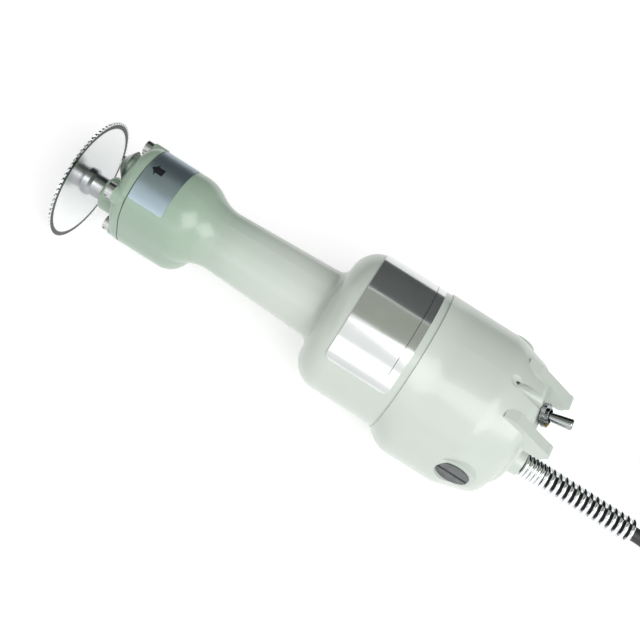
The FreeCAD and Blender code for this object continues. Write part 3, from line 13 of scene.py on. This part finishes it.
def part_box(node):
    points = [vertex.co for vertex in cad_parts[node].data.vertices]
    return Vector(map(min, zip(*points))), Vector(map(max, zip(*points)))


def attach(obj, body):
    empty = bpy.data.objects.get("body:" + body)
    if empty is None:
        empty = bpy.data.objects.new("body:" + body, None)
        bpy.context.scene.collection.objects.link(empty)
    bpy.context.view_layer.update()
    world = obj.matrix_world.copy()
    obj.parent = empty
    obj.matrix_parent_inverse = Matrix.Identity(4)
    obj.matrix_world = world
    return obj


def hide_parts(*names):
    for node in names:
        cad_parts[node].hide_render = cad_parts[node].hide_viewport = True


MM = 0.001
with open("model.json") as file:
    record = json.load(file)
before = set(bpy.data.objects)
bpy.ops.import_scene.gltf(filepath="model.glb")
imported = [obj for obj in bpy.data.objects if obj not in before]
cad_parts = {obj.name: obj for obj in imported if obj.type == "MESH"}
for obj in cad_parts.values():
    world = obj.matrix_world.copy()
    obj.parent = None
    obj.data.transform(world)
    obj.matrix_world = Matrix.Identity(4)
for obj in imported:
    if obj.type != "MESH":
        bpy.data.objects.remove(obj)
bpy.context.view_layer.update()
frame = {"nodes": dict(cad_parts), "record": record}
nodes = frame["nodes"]


def middle(node):
    """The middle of a node's box."""
    low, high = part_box(node)
    return (low + high) / 2


def srgb(red, green, blue):
    """A colour as an image shows it, 0 to 255, in the shader's linear values."""
    def linear(value):
        value /= 255
        return value / 12.92 if value <= 0.04045 else ((value + 0.055) / 1.055) ** 2.4
    return (linear(red), linear(green), linear(blue), 1)


class Shader:
    """A node material with one Principled shader, and short calls that add to it."""

    def __init__(self, name, colour, roughness, metallic=0.0):
        self.material = bpy.data.materials.new(name)
        self.material.use_nodes = True
        self.tree = self.material.node_tree
        self.surface = self.tree.nodes["Principled BSDF"]
        self.surface.inputs["Base Color"].default_value = colour
        self.surface.inputs["Roughness"].default_value = roughness
        self.surface.inputs["Metallic"].default_value = metallic
        self.place = self.tree.nodes.new("ShaderNodeTexCoord").outputs["Object"]
        self.height = None

    def add(self, kind, **inputs):
        """A new node of that kind, with a value or a link in each named input."""
        node = self.tree.nodes.new(kind)
        for name, value in inputs.items():
            self.give(value, node.inputs[name.replace("_", " ")])
        return node

    def give(self, value, socket):
        if isinstance(value, bpy.types.NodeSocket):
            self.tree.links.new(value, socket)
        else:
            socket.default_value = value

    def stretched(self, scale):
        """The place in space, multiplied by one factor for each axis."""
        node = self.add("ShaderNodeMapping", Vector=self.place)
        node.inputs["Scale"].default_value = scale
        return node.outputs["Vector"]

    def noise(self, scale, detail=3.0, vector=None):
        """Noise whose blobs are about 1/scale metres wide."""
        node = self.add("ShaderNodeTexNoise", Vector=vector or self.place, Scale=scale, Detail=detail)
        return node.outputs["Fac"]

    def ramp(self, factor, stops):
        """A colour for each value of the factor. Each stop is a position and its colour."""
        node = self.add("ShaderNodeValToRGB", Fac=factor)
        band = node.color_ramp
        band.elements[0].position, band.elements[0].color = stops[0]
        band.elements[1].position, band.elements[1].color = stops[-1]
        for position, colour in stops[1:-1]:
            band.elements.new(position).color = colour
        return node.outputs["Color"]

    def spread(self, factor, low, high):
        """Maps 0..1 to low..high."""
        node = self.add("ShaderNodeMapRange", Value=factor)
        node.inputs["To Min"].default_value = low
        node.inputs["To Max"].default_value = high
        return node.outputs["Result"]

    def maths(self, operation, *values):
        node = self.tree.nodes.new("ShaderNodeMath")
        node.operation = operation
        for socket, value in zip(node.inputs, values):
            self.give(value, socket)
        return node.outputs["Value"]

    def colour(self, socket):
        self.give(socket, self.surface.inputs["Base Color"])

    def roughness(self, factor, low, high):
        self.give(self.spread(factor, low, high), self.surface.inputs["Roughness"])

    def bump(self, height, distance, strength=1.0):
        """Adds relief of that height in metres."""
        node = self.add("ShaderNodeBump", Height=height, Distance=distance, Strength=strength)
        if self.height is not None:
            self.give(self.height, node.inputs["Normal"])
        self.height = node.outputs["Normal"]
        self.give(self.height, self.surface.inputs["Normal"])


def grey(value):
    return (value, value, value, 1)


# The enamel's painted shade, dark at the head, gives way to its plain colour between these two places along
# X. Noise moves them by up to the wander.
PAINTED_SHADE_START = -0.11
PAINTED_SHADE_END = 0.02
PAINTED_SHADE_WANDER = 0.012


def enamel():
    """Glossy pale green enamel, uneven over the casting, with painted shade darkening it from the neck to
    the head.
    """
    shader = Shader("pale_green_enamel", srgb(205, 216, 204), 0.3)
    along = shader.add("ShaderNodeSeparateXYZ", Vector=shader.place).outputs["X"]
    wander = shader.spread(shader.noise(28, 4), -PAINTED_SHADE_WANDER, PAINTED_SHADE_WANDER)
    painted_shade = shader.add("ShaderNodeMapRange", Value=shader.maths("ADD", along, wander))
    painted_shade.inputs["From Min"].default_value = PAINTED_SHADE_START
    painted_shade.inputs["From Max"].default_value = PAINTED_SHADE_END
    # Painted shade: the colour runs from dark at the head to pale at the neck and rear.
    shader.colour(shader.ramp(painted_shade.outputs["Result"], [
        (0.0, srgb(162, 184, 165)), (0.14, srgb(168, 189, 170)), (0.34, srgb(203, 215, 203)),
        (0.5, srgb(211, 220, 210)), (1.0, srgb(206, 215, 206)),
    ]))
    shader.roughness(shader.noise(160, 3), 0.26, 0.38)
    shader.surface.inputs["Coat Weight"].default_value = 0.35
    shader.surface.inputs["Coat Roughness"].default_value = 0.12
    shader.bump(shader.noise(55, 2), 0.0004, 0.35)
    shader.bump(shader.noise(900, 2), 0.00003, 0.4)
    return shader.material


def polished_blade():
    """Bright rolled steel with fine turning marks, a painted reflection of the hub darkening its middle,
    and a dark band inside the teeth.
    """
    shader = Shader("blade_steel", srgb(222, 225, 227), 0.2, 1.0)
    low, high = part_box("saw_blade")
    centre = middle("saw_blade")
    radius = (high.z - low.z) / 2
    offset = shader.add("ShaderNodeVectorMath", Vector=shader.place)
    offset.operation = "SUBTRACT"
    offset.inputs[1].default_value = centre
    flat = shader.add("ShaderNodeVectorMath", Vector=offset.outputs["Vector"])
    flat.operation = "MULTIPLY"
    flat.inputs[1].default_value = (0, 1, 1)
    away = shader.add("ShaderNodeVectorMath", Vector=flat.outputs["Vector"])
    away.operation = "LENGTH"
    share = shader.maths("DIVIDE", away.outputs["Value"], radius)
    # Painted reflection: the face darkens towards its middle, where the hub is reflected.
    shader.colour(shader.ramp(share, [
        (0.0, srgb(150, 152, 154)), (0.26, srgb(240, 242, 243)), (0.895, srgb(246, 247, 248)),
        (0.912, srgb(30, 31, 32)), (0.965, srgb(24, 25, 26)), (0.98, srgb(236, 238, 240)),
    ]))
    rings = shader.add("ShaderNodeTexNoise", Scale=1.0, Detail=2.0)
    spun = shader.add("ShaderNodeCombineXYZ", X=shader.maths("MULTIPLY", share, 260.0))
    shader.give(spun.outputs["Vector"], rings.inputs["Vector"])
    shader.roughness(rings.outputs["Fac"], 0.12, 0.3)
    shader.bump(rings.outputs["Fac"], 0.00002, 0.5)
    return shader.material


def machined_steel(name, colour, roughness):
    shader = Shader(name, colour, roughness, 1.0)
    shader.roughness(shader.noise(700, 3), roughness - 0.07, roughness + 0.1)
    shader.bump(shader.noise(1500, 2), 0.00002, 0.5)
    return shader.material


def chrome_plate(name, colour):
    shader = Shader(name, colour, 0.08, 1.0)
    shader.roughness(shader.noise(300, 3), 0.05, 0.16)
    shader.bump(shader.noise(240, 2), 0.00003, 0.3)
    return shader.material


def laminations():
    shader = Shader("motor_laminations", srgb(92, 94, 96), 0.45, 0.9)
    wave = shader.add("ShaderNodeTexWave", Vector=shader.place, Scale=320.0, Distortion=0.0)
    shader.bump(wave.outputs["Fac"], 0.00005, 0.7)
    shader.roughness(shader.noise(400), 0.38, 0.55)
    return shader.material


def windings():
    shader = Shader("enamelled_copper", srgb(150, 78, 40), 0.3, 0.75)
    strands = shader.add("ShaderNodeTexWave", Vector=shader.place, Scale=260.0, Distortion=2.0)
    shader.bump(strands.outputs["Fac"], 0.0002, 0.8)
    shader.colour(shader.ramp(shader.noise(90), [(0.35, srgb(128, 62, 32)), (0.7, srgb(176, 98, 54))]))
    return shader.material


def brass():
    shader = Shader("brass", srgb(205, 176, 110), 0.28, 1.0)
    shader.roughness(shader.noise(420), 0.2, 0.4)
    shader.colour(shader.ramp(shader.noise(70), [(0.3, srgb(190, 158, 92)), (0.75, srgb(214, 188, 124))]))
    return shader.material


def carbon():
    shader = Shader("carbon", srgb(34, 34, 36), 0.6)
    shader.roughness(shader.noise(800), 0.5, 0.75)
    shader.bump(shader.noise(1600), 0.00003, 0.6)
    return shader.material


def gasket_fibre():
    shader = Shader("gasket_fibre", srgb(92, 96, 90), 0.85)
    shader.colour(shader.ramp(shader.noise(900, 5), [(0.3, srgb(78, 82, 76)), (0.75, srgb(112, 116, 108))]))
    shader.bump(shader.noise(1800), 0.00005, 0.7)
    return shader.material


def moulded_cap():
    """Dark grey moulded brush cap, its tone uneven at random."""
    shader = Shader("moulded_cap", srgb(88, 91, 92), 0.42)
    shader.colour(shader.ramp(shader.noise(350, 4), [(0.3, srgb(80, 83, 84)), (0.75, srgb(104, 107, 108))]))
    shader.roughness(shader.noise(500), 0.36, 0.55)
    shader.bump(shader.noise(1300, 2), 0.00003, 0.6)
    return shader.material


def black_rubber():
    shader = Shader("black_rubber", srgb(38, 38, 40), 0.5)
    shader.colour(shader.ramp(shader.noise(120, 4), [(0.3, srgb(32, 32, 34)), (0.75, srgb(48, 48, 50))]))
    shader.roughness(shader.noise(600), 0.42, 0.62)
    shader.bump(shader.noise(1500, 2), 0.00004, 0.6)
    return shader.material


def moulded_plug():
    shader = Shader("moulded_plug", srgb(44, 44, 46), 0.45)
    shader.colour(shader.ramp(shader.noise(90, 4), [(0.3, srgb(40, 40, 42)), (0.75, srgb(54, 54, 56))]))
    shader.roughness(shader.noise(700), 0.38, 0.56)
    shader.bump(shader.noise(1700, 2), 0.00004, 0.6)
    return shader.material


def foil(name, dark, light, roughness):
    """Rolled aluminium foil, brushed along its length, left bare."""
    shader = Shader(name, light, roughness, 0.85)
    grain = shader.noise(1.0, 3, shader.stretched((60, 3200, 3200)))
    shader.roughness(grain, roughness - 0.06, roughness + 0.1)
    shader.colour(shader.ramp(shader.noise(36, 3), [(0.3, dark), (0.7, light)]))
    shader.bump(grain, 0.00001, 0.12)
    return shader.material


def printed_ink():
    shader = Shader("printed_ink", srgb(20, 24, 30), 0.4)
    shader.roughness(shader.noise(900), 0.34, 0.5)
    return shader.material


MATERIALS = {
    "paint": enamel(),
    "gasket": gasket_fibre(),
    "screw_steel": machined_steel("screw_steel", srgb(190, 192, 192), 0.28),
    "blade_steel": polished_blade(),
    "steel": machined_steel("ground_steel", srgb(168, 170, 172), 0.3),
    "chrome": chrome_plate("chrome_plate", srgb(160, 164, 165)),
    "lamination": laminations(),
    "copper": windings(),
    "aluminium": machined_steel("cast_aluminium", srgb(196, 198, 200), 0.38),
    "brass": brass(),
    "carbon": carbon(),
    "black_plastic": moulded_cap(),
    "plate": foil("plate_foil", srgb(214, 218, 216), srgb(228, 231, 230), 0.12),
    "label_grey": foil("label_foil", srgb(156, 173, 182), srgb(170, 187, 196), 0.34),
    "rubber": black_rubber(),
    "plug_grey": moulded_plug(),
}
INK = printed_ink()
SPRING_WIRE = chrome_plate("bright_spring_wire", srgb(232, 234, 235))


def dress_nodes():
    """Gives each carried-over node the material of its slot."""
    for part in frame["record"]["subparts"]:
        item = nodes[part["node"]]
        for place in item.material_slots:
            place.link = "OBJECT"
            place.material = MATERIALS[part["material_slot"]]


def curve_piece(name, points, radius, material, resolution=5, sides=5):
    """A tube along a smooth line that has those control points."""
    data = bpy.data.curves.new(name, "CURVE")
    data.dimensions = "3D"
    data.bevel_depth = radius
    data.bevel_resolution = sides
    data.use_fill_caps = True
    spline = data.splines.new("NURBS")
    spline.points.add(len(points) - 1)
    for point, place in zip(spline.points, points):
        point.co = (*place, 1)
    spline.order_u = 3
    spline.use_endpoint_u = True
    spline.resolution_u = resolution
    data.materials.append(material)
    item = bpy.data.objects.new(name, data)
    bpy.context.scene.collection.objects.link(item)
    return item


def mesh_piece(name, mesh, material):
    """An object made from a bmesh, which is freed."""
    data = bpy.data.meshes.new(name)
    mesh.to_mesh(data)
    mesh.free()
    data.materials.append(material)
    item = bpy.data.objects.new(name, data)
    bpy.context.scene.collection.objects.link(item)
    return item


CORD_RADIUS = 3.75 * MM
# Control points of the cord before and after its coil, in millimetres.
LEAD = [(92.6, 0, 25.1), (156.0, 0, 25.1), (190.0, 0, 25.1), (224.0, -11.0, 3.85), (262.0, -35.0, 3.8)]
TAIL = [(272.5, 58.0, 26.25), (252.5, 58.0, 10.0), (239.5, 58.0, 10.0)]
TURN_RADII = [46.5 * MM, 39.0 * MM, 31.5 * MM]
LAYERS = 4
STEPS_PER_TURN = 18
# Each turn passes to the next one between these angles, in degrees.
SHIFT_FROM = 195
SHIFT_TO = 255
# The cord's straight runs beside the coil stop short of its middle, by these shares of its outer radius.
START_SHARE = 0.4
END_SHARE = 0.3


def coil_points(centre):
    """Four layers of three turns, wound in and out. The last turn leaves half way round."""
    order = []
    for layer in range(LAYERS):
        radii = TURN_RADII if layer % 2 == 0 else TURN_RADII[::-1]
        order += [(radius, CORD_RADIUS * (2 * layer + 1)) for radius in radii]
    order.append(order[-1])
    points = []
    # The curve touches the middle of each side of its control polygon, so the corners lie outside it.
    outward = 1 / math.cos(math.pi / STEPS_PER_TURN)
    count = (len(order) - 1) * STEPS_PER_TURN - STEPS_PER_TURN // 2
    for step in range(count + 1):
        turn, rest = divmod(step, STEPS_PER_TURN)
        angle = 360 * rest / STEPS_PER_TURN
        share = min(max((angle - SHIFT_FROM) / (SHIFT_TO - SHIFT_FROM), 0), 1)
        share = share * share * (3 - 2 * share)
        radius_now, height_now = order[turn]
        radius_next, height_next = order[turn + 1]
        radius = radius_now + (radius_next - radius_now) * share
        height = height_now + (height_next - height_now) * share
        place = math.radians(angle - 90)
        points.append((
            centre.x + radius * outward * math.cos(place),
            centre.y + radius * outward * math.sin(place),
            height,
        ))
    return points


def add_cord():
    """Lead, coil and tail are one cord. It replaces the three solids of its route."""
    centre = middle("cord_coil")
    lead = [tuple(value * MM for value in point) for point in LEAD]
    tail = [tuple(value * MM for value in point) for point in TAIL]
    start_run = (centre.x - TURN_RADII[0] * START_SHARE, lead[-1][1], CORD_RADIUS)
    end_run = (centre.x - TURN_RADII[0] * END_SHARE, tail[0][1], tail[0][2])
    route = lead + [start_run] + coil_points(centre) + [end_run] + tail
    cord = curve_piece("mains_cord", route, CORD_RADIUS, MATERIALS["rubber"])
    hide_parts("cord_lead", "cord_coil", "cord_tail")
    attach(cord, "root")


GUARD_WIRE = 1.1 * MM
GUARD_POINTS_PER_TURN = 14
CLOSED_TURNS = 4.5
OPENING_TURNS = 1.5
CLOSED_PITCH = 2.02 * GUARD_WIRE
GUARD_PITCH = 3.6 * MM


def add_spring_guard():
    """Helical spring: close wound where it enters the collar, open along the rest."""
    low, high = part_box("spring_guard")
    centre = middle("spring_guard")
    mean_radius = (high.z - low.z) / 2 - GUARD_WIRE
    radius = mean_radius / math.cos(math.pi / GUARD_POINTS_PER_TURN)
    points = []
    x = low.x + GUARD_WIRE
    turn = 0.0
    while x < high.x - GUARD_WIRE:
        angle = 2 * math.pi * turn
        points.append((x, centre.y + radius * math.cos(angle), centre.z + radius * math.sin(angle)))
        open_share = min(max((turn - CLOSED_TURNS) / OPENING_TURNS, 0), 1)
        pitch = CLOSED_PITCH + (GUARD_PITCH - CLOSED_PITCH) * open_share
        x += pitch / GUARD_POINTS_PER_TURN
        turn += 1 / GUARD_POINTS_PER_TURN
    guard = curve_piece("spring_coils", points, GUARD_WIRE, SPRING_WIRE, resolution=3, sides=4)
    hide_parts("spring_guard")
    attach(guard, "root")


PRINT_HEIGHT = 0.04 * MM


def wrapped_patch(mesh, sections, radius, centre_z, steps=10):
    """A thin closed patch on a cylinder along X. Each section is x and the arc it runs from and to."""
    def on_cylinder(x, angle, height):
        reach = radius + height
        return (x, reach * math.sin(angle), centre_z + reach * math.cos(angle))

    rows = []
    for x, start, end in sections:
        arc = [(start + (end - start) * step / steps) / radius for step in range(steps + 1)]
        top = [on_cylinder(x, angle, PRINT_HEIGHT) for angle in arc]
        low = [on_cylinder(x, angle, 0) for angle in arc]
        rows.append([mesh.verts.new(place) for place in top + low[::-1]])
    for first, second in zip(rows, rows[1:]):
        for index in range(len(first)):
            after = (index + 1) % len(first)
            mesh.faces.new((first[index], first[after], second[after], second[index]))
    mesh.faces.new(rows[0][::-1])
    mesh.faces.new(rows[-1])


ARROW_INSET = 1.8 * MM
ARROW_HEAD_LENGTH = 2.6 * MM
ARROW_LENGTH = 6.2 * MM
ARROW_TIP_HALF_WIDTH = 0.05 * MM
ARROW_HEAD_HALF_WIDTH = 3.4 * MM
ARROW_SHAFT_HALF_WIDTH = 1.9 * MM


def add_arrow():
    """The arrow on the head's label. It points at the blade."""
    low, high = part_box("head_plate")
    centre_z = middle("neck_bearing").z
    radius = high.z - centre_z
    tip = low.x + ARROW_INSET
    neck = tip + ARROW_HEAD_LENGTH
    head = [
        (tip, -ARROW_TIP_HALF_WIDTH, ARROW_TIP_HALF_WIDTH),
        (neck, -ARROW_HEAD_HALF_WIDTH, ARROW_HEAD_HALF_WIDTH),
    ]
    shaft = [
        (neck, -ARROW_SHAFT_HALF_WIDTH, ARROW_SHAFT_HALF_WIDTH),
        (tip + ARROW_LENGTH, -ARROW_SHAFT_HALF_WIDTH, ARROW_SHAFT_HALF_WIDTH),
    ]
    mesh = bmesh.new()
    wrapped_patch(mesh, head, radius, centre_z)
    wrapped_patch(mesh, shaft, radius, centre_z)
    arrow = mesh_piece("label_arrow", mesh, INK)
    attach(arrow, "root")


LINE_INSET = 4.4 * MM
LINE_WIDTH = 0.25 * MM
LINE_HALF_LENGTH = 31.0 * MM


def add_plate_line():
    """The fine line printed along the data plate's rear edge."""
    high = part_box("data_plate")[1]
    centre_z = middle("neck_bearing").z
    radius = high.z - centre_z
    front = high.x - LINE_INSET
    edges = [
        (front, -LINE_HALF_LENGTH, LINE_HALF_LENGTH),
        (front + LINE_WIDTH, -LINE_HALF_LENGTH, LINE_HALF_LENGTH),
    ]
    mesh = bmesh.new()
    wrapped_patch(mesh, edges, radius, centre_z, steps=60)
    line = mesh_piece("plate_line", mesh, INK)
    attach(line, "root")


FLOOR_REACH = 4.0
FLOOR_GLOW = 0.42
WORLD_LIGHT = 0.42


def add_floor():
    """A matt floor that also glows where the camera or a reflection sees it, so that it looks white."""
    mesh = bmesh.new()
    bmesh.ops.create_grid(mesh, x_segments=1, y_segments=1, size=FLOOR_REACH)
    shader = Shader("studio_floor", grey(0.93), 0.9)
    shader.surface.inputs["Specular IOR Level"].default_value = 0.1
    glow = shader.add("ShaderNodeEmission", Color=grey(1), Strength=FLOOR_GLOW)
    path = shader.tree.nodes.new("ShaderNodeLightPath").outputs
    seen = shader.maths("MAXIMUM", path["Is Camera Ray"], path["Is Glossy Ray"])
    shown = shader.add("ShaderNodeMixShader", Fac=seen)
    both = shader.add("ShaderNodeAddShader")
    shader.tree.links.new(shader.surface.outputs["BSDF"], both.inputs[0])
    shader.tree.links.new(glow.outputs["Emission"], both.inputs[1])
    shader.tree.links.new(shader.surface.outputs["BSDF"], shown.inputs[1])
    shader.tree.links.new(both.outputs["Shader"], shown.inputs[2])
    shader.tree.links.new(shown.outputs["Shader"], shader.tree.nodes["Material Output"].inputs["Surface"])
    mesh_piece("floor", mesh, shader.material)


def add_world():
    """Even light for the object, and plain white where the camera or a reflection sees past it."""
    world = bpy.data.worlds.new("studio")
    bpy.context.scene.world = world
    world.use_nodes = True
    world.cycles.sampling_method = "NONE"
    tree = world.node_tree
    path = tree.nodes.new("ShaderNodeLightPath")
    lit = tree.nodes["Background"]
    lit.inputs["Color"].default_value = grey(1)
    lit.inputs["Strength"].default_value = WORLD_LIGHT
    seen = tree.nodes.new("ShaderNodeBackground")
    seen.inputs["Color"].default_value = grey(1)
    seen.inputs["Strength"].default_value = 1.0
    sees_white = path.outputs["Is Camera Ray"]
    for output in ("Is Glossy Ray", "Is Transmission Ray"):
        node = tree.nodes.new("ShaderNodeMath")
        node.operation = "MAXIMUM"
        tree.links.new(sees_white, node.inputs[0])
        tree.links.new(path.outputs[output], node.inputs[1])
        sees_white = node.outputs["Value"]
    mix = tree.nodes.new("ShaderNodeMixShader")
    tree.links.new(sees_white, mix.inputs["Fac"])
    tree.links.new(lit.outputs["Background"], mix.inputs[1])
    tree.links.new(seen.outputs["Background"], mix.inputs[2])
    tree.links.new(mix.outputs["Shader"], tree.nodes["World Output"].inputs["Surface"])


def area_light(name, place, target, size, power):
    """A rectangular light at a place, turned to a target, with its power in watts."""
    data = bpy.data.lights.new(name, "AREA")
    data.shape = "RECTANGLE"
    data.size, data.size_y = size
    data.energy = power
    item = bpy.data.objects.new(name, data)
    bpy.context.scene.collection.objects.link(item)
    item.location = place
    item.rotation_mode = "QUATERNION"
    item.rotation_quaternion = (Vector(target) - Vector(place)).to_track_quat("-Z", "Y")


def reflected_card(name, place, target, size, tone):
    """A card beside the set that only reflections see, so that bright metal has something to show."""
    mesh = bmesh.new()
    bmesh.ops.create_grid(mesh, x_segments=1, y_segments=1, size=0.5)
    shader = Shader(name, tone, 0.9)
    lit = shader.add("ShaderNodeEmission", Color=tone, Strength=1.0)
    shader.tree.links.new(lit.outputs["Emission"], shader.tree.nodes["Material Output"].inputs["Surface"])
    card = mesh_piece(name, mesh, shader.material)
    turn = (Vector(target) - Vector(place)).to_track_quat("Z", "Y").to_matrix().to_4x4()
    card.matrix_world = Matrix.Translation(place) @ turn @ Matrix.Diagonal((*size, 1, 1))
    card.visible_camera = False
    card.visible_diffuse = False
    card.visible_shadow = False


def add_lights():
    """A soft key light over the near right side, a weak fill, and cards that the bright metal reflects."""
    area_light("key", place=(0.5, -0.5, 0.9), target=(0, 0, 0.05), size=(0.8, 0.8), power=7.4)
    area_light("fill", place=(-0.1, -1.0, 0.45), target=(0, 0, 0.04), size=(1.2, 0.5), power=1.4)
    reflected_card(
        "card_far", place=(0.05, 0.6, 0.55), target=(0.05, 0, 0.55), size=(2.4, 1.2),
        tone=srgb(30, 38, 37),
    )
    reflected_card(
        "card_above", place=(0.0, 0.08, 1.15), target=(0.0, 0.08, 0.0), size=(2.4, 0.95),
        tone=srgb(150, 154, 140),
    )
    reflected_card(
        "card_left", place=(-1.0, -0.3, 0.45), target=(0, 0, 0.04), size=(0.9, 0.5),
        tone=srgb(70, 74, 74),
    )


FOCAL_PIXELS = 870.0
PHOTO_SIZE = 640.0
SENSOR = 36.0
CAMERA_AT = Vector((-9.2, -216.1, 412.8)) * MM
VIEW_PITCH = math.radians(60)
VIEW_YAW = math.radians(1.65)
VIEW_ROLL = math.radians(32.3)


def add_camera():
    """The photograph's view: from above the near side, rolled so that the cutter lies aslant."""
    towards = Vector((0, -math.cos(VIEW_PITCH), math.sin(VIEW_PITCH)))
    fall = Vector((0, -math.sin(VIEW_PITCH), -math.cos(VIEW_PITCH)))
    along = Vector((1, 0, 0))
    right_of_axis = along * math.cos(VIEW_YAW) - towards * math.sin(VIEW_YAW)
    forward = -towards * math.cos(VIEW_YAW) - along * math.sin(VIEW_YAW)
    right = right_of_axis * math.cos(VIEW_ROLL) - fall * math.sin(VIEW_ROLL)
    down = right_of_axis * math.sin(VIEW_ROLL) + fall * math.cos(VIEW_ROLL)
    data = bpy.data.cameras.new("photo_camera")
    data.sensor_width = SENSOR
    data.lens = FOCAL_PIXELS / PHOTO_SIZE * SENSOR
    data.clip_start = 0.01
    data.clip_end = 20
    item = bpy.data.objects.new("photo_camera", data)
    bpy.context.scene.collection.objects.link(item)
    item.matrix_world = Matrix((
        (right.x, -down.x, -forward.x, CAMERA_AT.x),
        (right.y, -down.y, -forward.y, CAMERA_AT.y),
        (right.z, -down.z, -forward.z, CAMERA_AT.z),
        (0, 0, 0, 1),
    ))
    bpy.context.scene.camera = item


bpy.context.scene.view_settings.view_transform = "Standard"
add_camera()
add_cord()
dress_nodes()
add_spring_guard()
add_arrow()
add_plate_line()
add_floor()
add_world()
add_lights()
